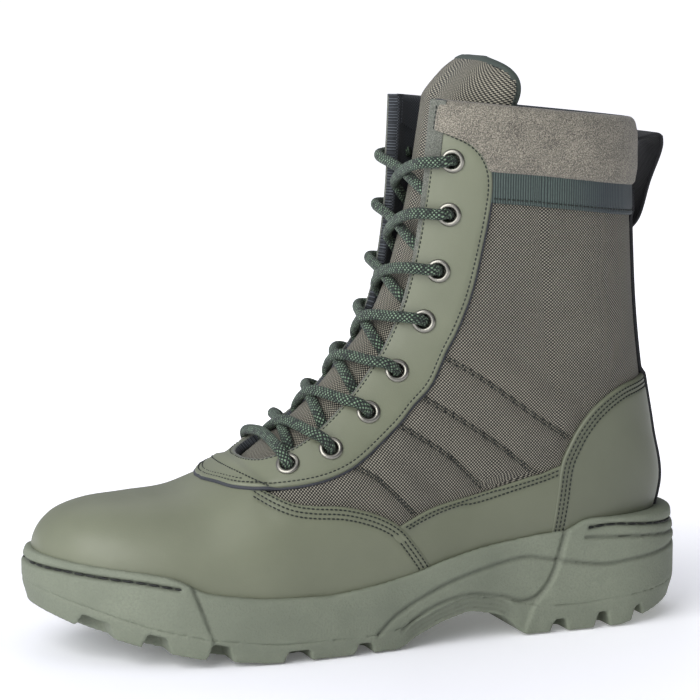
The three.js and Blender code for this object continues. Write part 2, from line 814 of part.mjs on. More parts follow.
const makeBackStrap = () => shell(GAP, GAP + STRAP_WALL).intersect(backStrapRoom(0));
const makeCuff = () =>
  shell(GAP, GAP + CUFF_WALL)
    .intersect(sidePrism([...CUFF_LINE, [LENGTH, SKY], [-PAST, SKY]]))
    .intersect(belowCollar())
    .subtract(eyestayRoom)
    .subtract(throat);
const makeWebbing = () =>
  shell(GAP, GAP + WEBBING)
    .intersect(
      sidePrism([
        ...CUFF_LINE.map(([x, z]) => [x, z - WEBBING_WIDTH]),
        ...CUFF_LINE.map(([x, z]) => [x, z - GAP]).reverse(),
      ]),
    )
    .subtract(eyestayRoom)
    .subtract(backStrapRoom(GAP));

// Pull loop: a band folded outwards from the top of the back strap to the back of the collar
const LOOP_PATH = scaled([
  [0.105, 0.733],
  [0.0625, 0.765],
  [0.0444, 0.833],
  [0.028, 0.884],
  [0.025, 0.911],
  [0.036, 0.921],
  [0.105, 0.901],
]);
function makeLoop() {
  const wall = LOOP_WALL / 2;
  const sided = (way) =>
    LOOP_PATH.map(([x, z], i) => {
      const [px, pz] = LOOP_PATH[Math.max(0, i - 1)];
      const [nx, nz] = LOOP_PATH[Math.min(LOOP_PATH.length - 1, i + 1)];
      const run = Math.hypot(nx - px, nz - pz);
      return [x - (way * wall * (nz - pz)) / run, z + (way * wall * (nx - px)) / run];
    });
  const band = sidePrism([...sided(1), ...sided(-1).reverse()], -LOOP_WIDTH / 2, LOOP_WIDTH / 2);
  const cuffRoom = form(CUFF_WALL + 2 * GAP).intersect(
    sidePrism([[-PAST, strapTop], [LENGTH, strapTop], [LENGTH, SKY], [-PAST, SKY]]),
  );
  return band.subtract(form(STRAP_WALL + 2 * GAP)).subtract(cuffRoom);
}

// Tongue: a padded sheet under the throat, standing above the collar and leaning back
const TONGUE = table(
  ["place", "turn", "sink"],
  [
    [6.7, 0.1, 0.3],
    [7.5, 0.135, 0.3],
    [8.5, 0.15, 0.6],
    [10.0, 0.16, 1.2],
    [11.5, 0.165, 2.0],
    [13.0, 0.17, 3.0],
    [14.5, 0.18, 4.5],
    [16.0, 0.2, 7.0],
    [17.5, 0.22, 9.5],
    [19.0, 0.23, 12.5],
  ],
);
const TONGUE_TOP = table(
  ["rise", "lean", "narrow"],
  [
    [0.35, 0.36, 0.97],
    [0.72, 0.8, 0.87],
    [0.93, 1.08, 0.69],
    [1.0, 1.18, 0.46],
  ],
);
const TONGUE_STEPS = 8;
function makeTongue() {
  const shares = Array.from({ length: TONGUE_STEPS + 1 }, (_, k) => (2 * k) / TONGUE_STEPS - 1);
  const at = (row, share, depth) => {
    const sink = row.sink * (1 - share * share);
    return offLast(row.place, row.turn * share, -UPPER_WALL - TONGUE_GAP - sink - depth);
  };
  const ring = (row, lift) => [
    ...shares.map((share) => at(row, share, 0).add(lift(share))),
    ...[...shares].reverse().map((share) => at(row, share, TONGUE_WALL).add(lift(share))),
  ];
  const none = () => new THREE.Vector3();
  const top = TONGUE[TONGUE.length - 1];
  const rings = TONGUE.map((row) => ring(row, none));
  for (const { rise, lean, narrow } of TONGUE_TOP)
    rings.push(
      ring({ ...top, turn: top.turn * narrow }, () =>
        new THREE.Vector3(-lean * TONGUE_RISE, 0, rise * TONGUE_RISE),
      ),
    );
  return bandLoft(rings);
}

// Laces: a bar over the bottom pair, then crossings from each eyelet to under the opposite edge
const LACE_SIDES = 6;
const LACE_CROSS = 1.2; // half the distance between two crossing strands
const LACE_DIP = 0.8; // a strand's end below the upper's face
const LACE_SAG = 0.25; // share of the tongue's hollow that the laces sink into
function cord(points, steps) {
  const round = new THREE.Shape(
    Array.from({ length: LACE_SIDES }, (_, i) => {
      const angle = (2 * Math.PI * i) / LACE_SIDES;
      return new THREE.Vector2((Math.cos(angle) * LACE) / 2, (Math.sin(angle) * LACE) / 2);
    }),
  );
  const path = new THREE.CatmullRomCurve3(points);
  return solidOf(new THREE.ExtrudeGeometry(round, { steps, extrudePath: path }));
}
const laceTop = flangeSeat + EYELET_RIM + 2.5 * GAP + LACE / 2;
const laceEdge = flangeSeat + GAP + LACE / 2;
const throatTurn = (place) => straight(THROAT, "place", place, "turn");
// One strand from an eyelet over the throat, as shares of the way down to the next eyelet and of the
// throat's half angle; the outer side's strand lies on the inner side's
const STRAND = table(
  ["down", "across"],
  [
    [0.2, 1],
    [0.46, 0.2],
    [0.78, -0.7],
  ],
);
function strand(i, side) {
  const [from, to] = [EYELETS[i], EYELETS[i - 1]];
  const sag = LACE_SAG * straight(TONGUE, "place", from.place, "sink");
  const heights = [laceEdge, LACE_CROSS * side - sag, -LACE_DIP - sag];
  return [
    offLast(from.place, side * from.turn, laceTop),
    ...STRAND.map(({ down, across }, k) => {
      const place = from.place + down * (to.place - from.place);
      return offLast(place, side * across * throatTurn(place), heights[k]);
    }),
  ];
}
const makeCrossing = (i) => cord(strand(i, 1), 5).add(cord(strand(i, -1), 5));
function makeBar() {
  const { place, turn } = EYELETS[0];
  const edge = throatTurn(place) / turn;
  const points = [
    [-1, laceTop],
    [-edge, laceEdge],
    [0, LACE_CROSS],
    [edge, laceEdge],
    [1, laceTop],
  ];
  return cord(points.map(([share, out]) => offLast(place, share * turn, out)), 10);
}

// Materials
const finish = (color, roughness, metalness = 0) =>
  new THREE.MeshStandardMaterial({ color, roughness, metalness });
const rubber = finish(0x6f7668, 0.8);
const leather = finish(0x7d8270, 0.5);
const cloth = finish(0x66665a, 0.9);
const suede = finish(0x7d776b, 0.95);
const darkWebbing = finish(0x34403a, 0.85);
const laceCord = finish(0x39493e, 0.8);
const eyeletMetal = finish(0x8f8d80, 0.35, 1);
const foam = finish(0x3a3d3a, 0.95);

const boot = new THREE.Group();
const add = (name, solid, material) => boot.add(meshOf(name, solid, material));
add("outsole", makeOutsole(), rubber);
add("midsole", makeMidsole(), rubber);
add("insole", makeInsole(), foam);
add("upper", makeUpper(), cloth);
add("vamp", makeVamp(), leather);
add("eyestay", makeEyestay(), leather);
add("collar_cuff", makeCuff(), suede);
add("collar_webbing", makeWebbing(), darkWebbing);
add("back_strap", makeBackStrap(), darkWebbing);
add("pull_loop", makeLoop(), darkWebbing);
add("tongue", makeTongue(), cloth);
for (const [name, side] of [["outer", 1], ["inner", -1]]) {
  add(`side_panel_${name}`, makeSidePanel(side), leather);
  add(`heel_counter_${name}`, makeCounter(side), leather);
}
EYELETS.forEach(({ place, turn }, i) => {
  for (const [name, side] of [["outer", 1], ["inner", -1]]) {
    const ring = solidOf(seatOn(eyeletShape, place, side * turn, flangeSeat));
    add(`eyelet_${name}_${i + 1}`, ring, eyeletMetal);
  }
});
add("lace_bar", makeBar(), laceCord);
for (let i = 1; i < EYELETS.length; i++) add(`lace_crossing_${i}`, makeCrossing(i), laceCord);
boot.position.x = -HEEL_SEAT;
boot.name = "hiking_boot";

export default boot;
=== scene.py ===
"""A left hiking boot, dressed for its photograph.

It has a rubber cup sole, a woven upper with leather pieces, laces and a tongue. Lengths are millimetres from
the back of the sole, and become metres in the frame where a mesh is made. A point of the surface has a place,
which counts the last's sections from toe to collar, and a turn round the section.
"""

import bpy
import numpy as np
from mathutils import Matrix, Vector
from mathutils.bvhtree import BVHTree


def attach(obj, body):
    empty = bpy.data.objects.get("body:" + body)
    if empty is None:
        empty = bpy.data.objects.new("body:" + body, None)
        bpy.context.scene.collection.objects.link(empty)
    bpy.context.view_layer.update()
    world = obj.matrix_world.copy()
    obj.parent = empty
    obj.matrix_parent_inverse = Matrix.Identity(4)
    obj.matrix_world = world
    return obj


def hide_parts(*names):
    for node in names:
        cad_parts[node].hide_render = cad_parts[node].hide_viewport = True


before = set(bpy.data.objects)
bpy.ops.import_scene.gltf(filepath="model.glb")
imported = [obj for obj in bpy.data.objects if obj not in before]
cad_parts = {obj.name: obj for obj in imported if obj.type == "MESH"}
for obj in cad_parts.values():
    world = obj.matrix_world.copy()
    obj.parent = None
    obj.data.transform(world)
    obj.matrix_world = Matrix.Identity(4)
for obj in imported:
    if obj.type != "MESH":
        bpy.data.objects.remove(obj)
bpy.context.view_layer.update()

# Driving sizes
LENGTH = 304
BALL_WIDTH = 107
HEEL_WIDTH = 80
HEEL_SEAT = 60
HEEL_REST = 30
BALL_REST = 13.5
TOE_SPRING = 18
INSTEP_HEIGHT = 115
COLLAR_HEIGHT = 240
COLLAR_DIP = 11
SHAFT_WIDTH = 78
BACK_HEIGHT = COLLAR_HEIGHT - COLLAR_DIP
UPPER_WALL = 2.4
LEATHER = 2.0
SIDE_LEATHER = 1.4
CUFF_WALL = 2.6
WEBBING = 1.3
WEBBING_WIDTH = 13.5
STRAP_WIDTH = 24
LOOP_WIDTH = 25
LOOP_WALL = 1.8
TONGUE_WALL = 5
TONGUE_GAP = 1.6
TONGUE_RISE = 18
LACE = 4.2
LACE_WIDE = 2.5  # half width and half height of a lace that lies on leather
LACE_HIGH = 2.1
EYELET_HOLE = 2.8
STITCH = 1.55
STITCH_PITCH = 2.05
THREAD = 0.72
ROWS = (1.5, 3.4, 5.3)  # rows of stitches inside a leather edge


# Numbers along a line
def catmull(rows, at):
    """Smooth rows of a table at fractional row numbers."""
    rows = np.asarray(rows, float)
    last_row = len(rows) - 1
    at = np.clip(np.asarray(at, float), 0, last_row)
    i = np.minimum(at.astype(int), last_row - 1)
    t = (at - i)[..., None]
    b, c = rows[i], rows[i + 1]
    a = np.where((i > 0)[..., None], rows[np.maximum(i - 1, 0)], 2 * b - c)
    d = np.where((i < last_row - 1)[..., None], rows[np.minimum(i + 2, last_row)], 2 * c - b)
    return 0.5 * (
        2 * b + (c - a) * t + (2 * a - 5 * b + 4 * c - d) * t**2 + (3 * b - a - 3 * c + d) * t**3
    )


def smooth_path(points, spacing):
    """A smooth curve through points, as points about spacing apart."""
    points = np.asarray(points, float)
    fine = catmull(points, np.linspace(0, len(points) - 1, 24 * len(points)))
    run = np.r_[0, np.cumsum(np.linalg.norm(np.diff(fine, axis=0), axis=1))]
    count = max(2, int(round(run[-1] / spacing)) + 1)
    even = np.linspace(0, run[-1], count)
    return np.stack([np.interp(even, run, fine[:, k]) for k in range(points.shape[1])], -1)


def distance(points, path, closed=False):
    """Distance of each point to a path, in two or three dimensions."""
    starts = path if closed else path[:-1]
    ends = np.roll(path, -1, 0) if closed else path[1:]
    along = ends - starts
    size = np.maximum((along**2).sum(1), 1e-12)
    best = np.full(len(points), 1e9)
    for first in range(0, len(points), 8000):
        part = points[first : first + 8000]
        away = part[:, None] - starts[None]
        share = np.clip((away * along).sum(2) / size, 0, 1)
        near = away - share[..., None] * along
        best[first : first + 8000] = np.sqrt((near**2).sum(2).min(1))
    return best


def inside(points, path):
    """Whether each flat point lies inside a closed path."""
    x, y = points[:, :1], points[:, 1:2]
    x0, y0 = path.T
    x1, y1 = np.roll(path, -1, 0).T
    cuts = (y0 > y) != (y1 > y)
    rise = np.where(y1 == y0, 1e-9, y1 - y0)
    return (cuts & (x < x0 + (y - y0) * (x1 - x0) / rise)).sum(1) % 2 == 1


def ramp(value, low, high):
    """A soft step from 0 to 1."""
    t = np.clip((value - low) / (high - low), 0, 1)
    return t * t * (3 - 2 * t)


# Sole seen from above and its heights along the length, as in the solids
PLAN = np.array([
    [0, 0, 0.5, 0], [0.14, 0, 0.5, 0.009], [0.28, 0.03, 0.46, 0.024], [0.36, 0.127, 0.35, 0.036],
    [0.46, 0.262, 0.2, 0.04], [0.56, 0.405, 0.06, 0.033], [0.66, 0.49, 0, 0.017], [0.725, 0.5, 0, 0],
    [0.8, 0.484, 0, -0.02], [0.88, 0.46, 0, -0.04], [1, 0.43, 0, -0.054],
])
SOLE_LINES = np.array([
    [0, 1, 0, 0], [0.26, 1, 0, 0], [0.36, 0.86, 0, 0], [0.46, 0.5, 0.42, 0], [0.56, 0.12, 0.88, 0],
    [0.66, 0, 1, 0], [0.75, 0, 1, 0.08], [0.85, 0, 1, 0.34], [0.94, 0, 1, 0.76], [1, 0, 1, 1.14],
])
GROUND = np.array([
    [0, 0.3, 0], [0.04, 0.24, 0], [0.09, 0.12, 0], [0.13, 0, 0], [0.29, 0, 0], [0.305, 0.2, 0],
    [0.33, 0.36, 0], [0.38, 0.46, 0], [0.43, 0.32, 0], [0.47, 0.14, 0], [0.49, 0, 0], [0.68, 0, 0],
    [0.74, 0, 0.09], [0.8, 0, 0.24], [0.86, 0, 0.47], [0.93, 0, 0.82], [1, 0, 1.3],
])
SEAM = np.array([
    [0, 0.61, 0], [0.08, 0.52, 0], [0.2, 0.42, 0], [0.27, 0.45, 0], [0.33, 0.62, 0], [0.38, 0.7, 0],
    [0.44, 0.58, 0], [0.49, 0.35, 0], [0.54, 0.283, 0], [0.68, 0.283, 0.02], [0.78, 0.283, 0.24],
    [0.86, 0.283, 0.55], [0.93, 0.283, 0.95], [1, 0.283, 1.35],
])
RAND = np.array([
    [0, 1.65, 0], [0.18, 1.7, 0], [0.195, 1.68, 0], [0.215, 1.55, 0], [0.28, 1.5, 0], [0.35, 1.42, 0],
    [0.41, 1.29, 0], [0.47, 1.12, 0], [0.53, 1, 0], [0.6, 0.92, 0], [0.7, 0.95, 0.02],
    [0.76, 0.97, 0.12], [0.785, 0.98, 0.18], [0.81, 1.02, 0.36], [0.83, 1.05, 0.46],
    [0.87, 1.05, 0.58], [0.93, 1.05, 0.7], [1, 1.05, 0.84],
])


def curve_of(rows, x):
    """Smooth columns of a table whose first column is the share of the length."""
    at = np.interp(np.asarray(x, float) / LENGTH, rows[:, 0], np.arange(len(rows)))
    return catmull(rows[:, 1:], at)


def rise_of(rows, x):
    """Height of a sole line, with its corners a little rounded."""
    steps = np.arange(-3, 4)
    shares = np.clip(np.asarray(x, float)[..., None] + steps, 0, LENGTH) / LENGTH
    heel = np.interp(shares, rows[:, 0], rows[:, 1]).mean(-1)
    toe = np.interp(shares, rows[:, 0], rows[:, 2]).mean(-1)
    return heel * HEEL_REST + toe * TOE_SPRING


def rest(x):
    row = curve_of(SOLE_LINES, x)
    return row[..., 0] * HEEL_REST + row[..., 1] * BALL_REST + row[..., 2] * TOE_SPRING


def plan(x):
    """Half width and middle of the sole."""
    x = np.asarray(x, float)
    row = curve_of(PLAN, x)
    back = np.maximum(0, 1 - x / (0.5 * HEEL_WIDTH))
    front = np.maximum(0, 1 - (LENGTH - x) / (0.58 * BALL_WIDTH))
    rounded = np.sqrt(np.maximum(0, 1 - back**2) * np.maximum(0, 1 - front**2))
    return (row[..., 0] * BALL_WIDTH + row[..., 1] * HEEL_WIDTH) * rounded, row[..., 2] * BALL_WIDTH


# The last, as sections that fan from the toe over the instep and up the shaft, as in the solids.
# Shares of a section: ridge along and up, underside along (and up for the shaft), half width, middle,
# height of the widest point, and how full the curve is below and above it.
FOOT = np.array([
    [0.981, 0.412, 0.981, 0.056, -0.052, 0.45, 2.6, 2.3],
    [0.976, 0.458, 0.977, 0.108, -0.05, 0.42, 2.8, 2.4],
    [0.961, 0.502, 0.963, 0.18, -0.048, 0.4, 3.2, 2.4],
    [0.937, 0.536, 0.939, 0.26, -0.044, 0.38, 3.6, 2.45],
    [0.896, 0.56, 0.898, 0.341, -0.039, 0.36, 4, 2.45],
    [0.839, 0.572, 0.842, 0.402, -0.03, 0.34, 4.2, 2.4],
    [0.77, 0.596, 0.773, 0.432, -0.013, 0.33, 4.4, 2.35],
    [0.697, 0.69, 0.691, 0.441, 0.007, 0.33, 4.4, 2.25],
    [0.645, 0.809, 0.579, 0.411, 0.026, 0.33, 4.2, 2.15],
    [0.605, 0.904, 0.461, 0.379, 0.037, 0.34, 4, 2.15],
    [0.571, 1, 0.342, 0.355, 0.034, 0.36, 3.6, 2.2],
])
SHAFT = np.array([
    [0.538, 0.096, 0.21, 0, 0.474, 0.032, 0.38, 3.1, 2.3],
    [0.508, 0.188, 0.082, 0.007, 0.468, 0.028, 0.41, 2.6, 2.4],
    [0.485, 0.288, 0.03, 0.14, 0.469, 0.02, 0.44, 2.25, 2.5],
    [0.467, 0.4, 0.041, 0.276, 0.474, 0.015, 0.47, 2.2, 2.6],
    [0.454, 0.528, 0.0575, 0.417, 0.479, 0.01, 0.48, 2.2, 2.7],
    [0.445, 0.66, 0.0685, 0.563, 0.486, 0.006, 0.49, 2.2, 2.75],
    [0.44, 0.784, 0.0745, 0.713, 0.492, 0.004, 0.5, 2.2, 2.8],
    [0.437, 0.904, 0.078, 0.86, 0.499, 0.003, 0.5, 2.2, 2.8],
    [0.436, 1, 0.079, 1, 0.503, 0, 0.5, 2.2, 2.8],
    [0.436, 1.12, 0.081, 1.138, 0.506, 0, 0.5, 2.2, 2.8],
])
SECTIONS = np.vstack([
    np.stack([
        FOOT[:, 0] * LENGTH, FOOT[:, 1] * INSTEP_HEIGHT, FOOT[:, 2] * LENGTH, rest(FOOT[:, 2] * LENGTH),
        FOOT[:, 3] * BALL_WIDTH, FOOT[:, 4] * BALL_WIDTH, FOOT[:, 5], FOOT[:, 6], FOOT[:, 7],
    ], -1),
    np.stack([
        SHAFT[:, 0] * LENGTH, INSTEP_HEIGHT + SHAFT[:, 1] * (COLLAR_HEIGHT - INSTEP_HEIGHT),
        SHAFT[:, 2] * LENGTH, HEEL_REST + SHAFT[:, 3] * (BACK_HEIGHT - HEEL_REST),
        SHAFT[:, 4] * SHAFT_WIDTH, SHAFT[:, 5] * SHAFT_WIDTH, SHAFT[:, 6], SHAFT[:, 7], SHAFT[:, 8],
    ], -1),
])
COLLAR = len(SECTIONS) - 2


def last(place, turn):
    """Point of the last. Turn 0 is the ridge, 0.25 the outer side, 0.5 the underside or back."""
    row = catmull(SECTIONS, np.asarray(place, float))
    ridge_x, ridge_z, under_x, under_z, half, middle, widest, low, high = np.moveaxis(row, -1, 0)
    angle = 2 * np.pi * np.asarray(turn, float)
    c, s = np.cos(angle), np.sin(angle)
    full = np.where(c >= 0, high, low)
    rise = np.abs(c) ** (2 / full)
    share = np.where(c >= 0, widest + (1 - widest) * rise, widest * (1 - rise))
    return np.stack([
        under_x + share * (ridge_x - under_x),
        middle + half * np.sign(s) * np.abs(s) ** (2 / full),
        under_z + share * (ridge_z - under_z),
    ], -1)


def normal(place, turn):
    step = 2e-3
    ahead = last(place + step, turn) - last(place - step, turn)
    round_way = last(place, turn + step) - last(place, turn - step)
    way = np.cross(round_way, ahead)
    return way / np.maximum(np.linalg.norm(way, axis=-1, keepdims=True), 1e-9)


def off_last(place, turn, out):
    place, turn = np.asarray(place, float), np.asarray(turn, float)
    return last(place, turn) + normal(place, turn) * np.asarray(out, float)[..., None]


# Cloth lies flat on the side: how far each point is from the side's middle, level by level
LEVELS = np.arange(20, COLLAR_HEIGHT + 24, 3.0)
TURNS = np.linspace(0, 0.5, 61)


def level_runs():
    places = np.linspace(4, len(SECTIONS) - 1, 240)
    grid = last(places[:, None], TURNS[None, :])
    at_level = np.empty((len(LEVELS), len(TURNS), 2))
    for j in range(len(TURNS)):
        order = np.argsort(grid[:, j, 2])
        for k in (0, 1):
            at_level[:, j, k] = np.interp(LEVELS, grid[order, j, 2], grid[order, j, k])
    steps = np.linalg.norm(np.diff(at_level, axis=1), axis=2)
    run = np.concatenate([np.zeros((len(LEVELS), 1)), np.cumsum(steps, 1)], 1)
    middle = len(TURNS) // 2
    return run[:, middle : middle + 1] - run + at_level[:, middle : middle + 1, 0]


RUNS = level_runs()


def cloth_place(point, turn):
    """Flat place of a point on the cloth: length round the side, and height."""
    row = np.clip((point[:, 2] - LEVELS[0]) / (LEVELS[1] - LEVELS[0]), 0, len(LEVELS) - 1.001)
    column = np.clip(np.abs(turn) * 2 * (len(TURNS) - 1), 0, len(TURNS) - 1.001)
    i, j = row.astype(int), column.astype(int)
    a, b = row - i, column - j
    along = (RUNS[i, j] * (1 - a) + RUNS[i + 1, j] * a) * (1 - b)
    along += (RUNS[i, j + 1] * (1 - a) + RUNS[i + 1, j + 1] * a) * b
    return np.stack([along, point[:, 2]], -1)


# Finishes
PLUS = {"operation": "ADD"}
MINUS = {"operation": "SUBTRACT"}
TIMES = {"operation": "MULTIPLY"}
SINE = {"operation": "SINE"}
UNSIGNED = {"operation": "ABSOLUTE"}
DISTANCE = {"operation": "DISTANCE"}
BLEND = {"data_type": "RGBA"}
CLOTH_MAP = {"uv_map": "cloth"}
ROUND = 2 * np.pi
RIB_PITCH = 1.15  # millimetres from rib to rib of the webbing, a little coarser than real
BRAID_LAY = 3.6  # millimetres of lace for one turn of a strand
BRAID_STRANDS = 4  # that run each way round the lace


def colour(code):
    """An sRGB hex value as the linear colour that a shader takes."""
    parts = [int(code[i : i + 2], 16) / 255 for i in (0, 2, 4)]
    return [c / 12.92 if c <= 0.04045 else ((c + 0.055) / 1.055) ** 2.4 for c in parts] + [1.0]


def socket_of(value):
    """The first output of a node. A socket or a plain value stays as it is."""
    return value.outputs[0] if isinstance(value, bpy.types.Node) else value


def node(tree, kind, settings=None, **links):
    """Adds a node with its settings and links.

    The setting stops gives the places and colours of a ramp. A link is named after its input, or i and its
    number, and is a value, a socket, or a node whose first output is taken.
    """
    made = tree.nodes.new(kind)
    settings = dict(settings or {})
    stops = settings.pop("stops", [])
    for name, value in settings.items():
        setattr(made, name, value)
    for _ in stops[2:]:
        made.color_ramp.elements.new(0.5)
    for i, (at, code) in enumerate(stops):
        made.color_ramp.elements[i].position = at
        made.color_ramp.elements[i].color = colour(code)
    for name, value in links.items():
        key = int(name[1:]) if name[0] == "i" and name[1:].isdigit() else name.replace("_", " ")
        value = socket_of(value)
        if isinstance(value, bpy.types.NodeSocket):
            tree.links.new(value, made.inputs[key])
        else:
            made.inputs[key].default_value = value
    return made


def material(name, **fixed):
    """A new material, with its tree, its shader and the place on the object in metres."""
    made = bpy.data.materials.new(name)
    made.use_nodes = True
    tree = made.node_tree
    tree.nodes.clear()
    shader = node(tree, "ShaderNodeBsdfPrincipled", **fixed)
    node(tree, "ShaderNodeOutputMaterial", Surface=shader)
    where = node(tree, "ShaderNodeTexCoord").outputs["Object"]
    return made, tree, shader, where


def finish_with(tree, shader, tone, height, depth, strength):
    """Gives a shader its colour, and the relief of a height from 0 to 1 whose depth is in metres."""
    relief = node(tree, "ShaderNodeBump", Height=height, Distance=depth, Strength=strength)
    tree.links.new(socket_of(tone), shader.inputs["Base Color"])
    tree.links.new(relief.outputs[0], shader.inputs["Normal"])


def leather(name, pale, deep):
    """Coated split leather, smooth and matt: a fine grain, faint clouds of colour, a soft coat."""
    coat = {"Coat_Weight": 0.12, "Coat_Roughness": 0.42}
    made, tree, shader, where = material(name, Roughness=0.52, IOR=1.48, **coat)
    clouds = node(tree, "ShaderNodeTexNoise", Vector=where, Scale=22.0, Detail=4.0, Roughness=0.55)
    tone = node(tree, "ShaderNodeValToRGB", {"stops": [(0.3, deep), (0.7, pale)]}, Fac=clouds)
    # The grain is about 1 mm, where the real one is finer, so that it shows
    grain = node(tree, "ShaderNodeTexVoronoi", Vector=where, Scale=1100.0)
    pores = node(tree, "ShaderNodeTexNoise", Vector=where, Scale=2600.0, Detail=2.0, Roughness=0.55)
    cells = node(tree, "ShaderNodeMath", TIMES, i0=grain, i1=0.6)
    specks = node(tree, "ShaderNodeMath", TIMES, i0=pores, i1=0.5)
    height = node(tree, "ShaderNodeMath", PLUS, i0=cells, i1=specks)
    wear = node(tree, "ShaderNodeTexNoise", Vector=where, Scale=60.0, Detail=3.0, Roughness=0.55)
    rough = node(tree, "ShaderNodeMapRange", Value=wear, To_Min=0.46, To_Max=0.6)
    tree.links.new(rough.outputs[0], shader.inputs["Roughness"])
    finish_with(tree, shader, tone, height, 0.00008, 0.5)
    return made


def rubber(name, pale, deep):
    """Moulded rubber from a stippled mould: matt, with fine raised grains of about 1 mm, and painted shade in
    its grooves.
    """
    made, tree, shader, where = material(name, Roughness=0.72, IOR=1.5)
    clouds = node(tree, "ShaderNodeTexNoise", Vector=where, Scale=30.0, Detail=5.0, Roughness=0.55)
    tone = node(tree, "ShaderNodeValToRGB", {"stops": [(0.3, deep), (0.72, pale)]}, Fac=clouds)
    grains = node(tree, "ShaderNodeTexNoise", Vector=where, Scale=1000.0, Detail=2.0, Roughness=0.6)
    steps = {"From_Min": 0.3, "From_Max": 0.62, "To_Min": 0.6, "To_Max": 0.0}
    dark = node(tree, "ShaderNodeMapRange", Value=grains, **steps)
    stippled = node(tree, "ShaderNodeMix", BLEND, i0=dark, i6=tone, i7=colour(deep)).outputs[2]
    # Painted shade in the grooves, darker in the deeper ones
    shade = node(tree, "ShaderNodeAttribute", {"attribute_name": "groove"}).outputs["Fac"]
    tone = node(tree, "ShaderNodeMix", BLEND, i0=shade, i6=stippled, i7=colour("1d1f1b")).outputs[2]
    finish_with(tree, shader, tone, grains, 0.0005, 0.6)
    return made


def suede(name, pale, middle, deep):
    """Brushed microfibre suede: a nap that catches light in short flecks of khaki, grey and brown."""
    nap = {"Sheen_Weight": 0.15, "Sheen_Roughness": 0.5}
    made, tree, shader, where = material(name, Roughness=0.93, IOR=1.4, **nap)
    # The flecks are about 0.5 mm, where the real nap is finer, so that they show
    flecks = node(tree, "ShaderNodeTexNoise", Vector=where, Scale=1900.0, Detail=2.0, Roughness=0.7)
    clouds = node(tree, "ShaderNodeTexNoise", Vector=where, Scale=90.0, Detail=3.0, Roughness=0.55)
    fine = node(tree, "ShaderNodeMath", TIMES, i0=flecks, i1=0.85)
    broad = node(tree, "ShaderNodeMath", TIMES, i0=clouds, i1=0.15)
    both = node(tree, "ShaderNodeMath", PLUS, i0=fine, i1=broad)
    stops = [(0.36, deep), (0.5, middle), (0.64, pale)]
    tone = node(tree, "ShaderNodeValToRGB", {"stops": stops}, Fac=both)
    finish_with(tree, shader, tone, flecks, 0.0004, 0.5)
    return made


def woven(name, thread, shade, pitch, relief=0.00028):
    """Plain weave of thick nylon yarn: each yarn crown is pale and each crossing is a dark gap.

    The pitch is in millimetres. The real one is about 0.9, and it is drawn coarser so that it shows.
    """
    made, tree, shader, where = material(name, Roughness=0.85, IOR=1.5, Sheen_Weight=0.04)
    flat = node(tree, "ShaderNodeUVMap", CLOTH_MAP)
    x, y, _ = node(tree, "ShaderNodeSeparateXYZ", Vector=flat).outputs
    turn_x = node(tree, "ShaderNodeMath", TIMES, i0=x, i1=ROUND / pitch)
    turn_y = node(tree, "ShaderNodeMath", TIMES, i0=y, i1=ROUND / pitch)
    across = node(tree, "ShaderNodeMath", SINE, i0=turn_x)
    along = node(tree, "ShaderNodeMath", SINE, i0=turn_y)
    crowns = node(tree, "ShaderNodeMath", TIMES, i0=across, i1=along)
    height = node(tree, "ShaderNodeMapRange", Value=crowns, From_Min=-1.0, From_Max=1.0)
    clouds = node(tree, "ShaderNodeTexNoise", Vector=where, Scale=45.0, Detail=3.0, Roughness=0.55)
    pale, dark = [colour(code) for code in thread]
    yarn = node(tree, "ShaderNodeMix", BLEND, i0=clouds, i6=pale, i7=dark).outputs[2]
    steps = {"From_Min": 0.42, "From_Max": 0.8, "To_Min": 1.0, "To_Max": 0.0}
    gap = node(tree, "ShaderNodeMapRange", Value=height, **steps)
    tone = node(tree, "ShaderNodeMix", BLEND, i0=gap, i6=yarn, i7=colour(shade)).outputs[2]
    finish_with(tree, shader, tone, height, relief, 0.8)
    return made


def ribbed(name, pale, deep, rows=None, back=None):
    """Narrow woven band of filament yarn: ribs across its width with a dull shine.

    rows is the pitch in millimetres of a second set of ribs, and back a darker, bluer colour painted round
    the heel as shade.
    """
    made, tree, shader, where = material(name, Roughness=0.65, IOR=1.5, Sheen_Weight=0.04)
    flat = node(tree, "ShaderNodeUVMap", CLOTH_MAP)
    x, y, _ = node(tree, "ShaderNodeSeparateXYZ", Vector=flat).outputs
    turn_x = node(tree, "ShaderNodeMath", TIMES, i0=x, i1=ROUND / RIB_PITCH)
    ribs = node(tree, "ShaderNodeMath", SINE, i0=turn_x)
    if rows:
        turn_y = node(tree, "ShaderNodeMath", TIMES, i0=y, i1=ROUND / rows)
        cross = node(tree, "ShaderNodeMath", SINE, i0=turn_y)
        ribs = node(tree, "ShaderNodeMath", TIMES, i0=ribs, i1=cross)
    height = node(tree, "ShaderNodeMapRange", Value=ribs, From_Min=-1.0, From_Max=1.0)
    specks = node(tree, "ShaderNodeTexNoise", Vector=where, Scale=900.0, Detail=2.0, Roughness=0.55)
    lift = node(tree, "ShaderNodeMath", PLUS, i0=specks, i1=0.45)
    share = node(tree, "ShaderNodeMath", TIMES, i0=height, i1=lift)
    tone = node(tree, "ShaderNodeMix", BLEND, i0=share, i6=colour(deep), i7=colour(pale)).outputs[2]
    if back:
        # Painted shade round the heel, from 8 mm before the heel's middle to 12 mm behind it
        along = node(tree, "ShaderNodeSeparateXYZ", Vector=where)
        share = node(tree, "ShaderNodeMapRange", Value=along, From_Min=0.008, From_Max=-0.012, To_Max=0.7)
        tone = node(tree, "ShaderNodeMix", BLEND, i0=share, i6=tone, i7=colour(back)).outputs[2]
    finish_with(tree, shader, tone, height, 0.0003, 0.8)
    return made


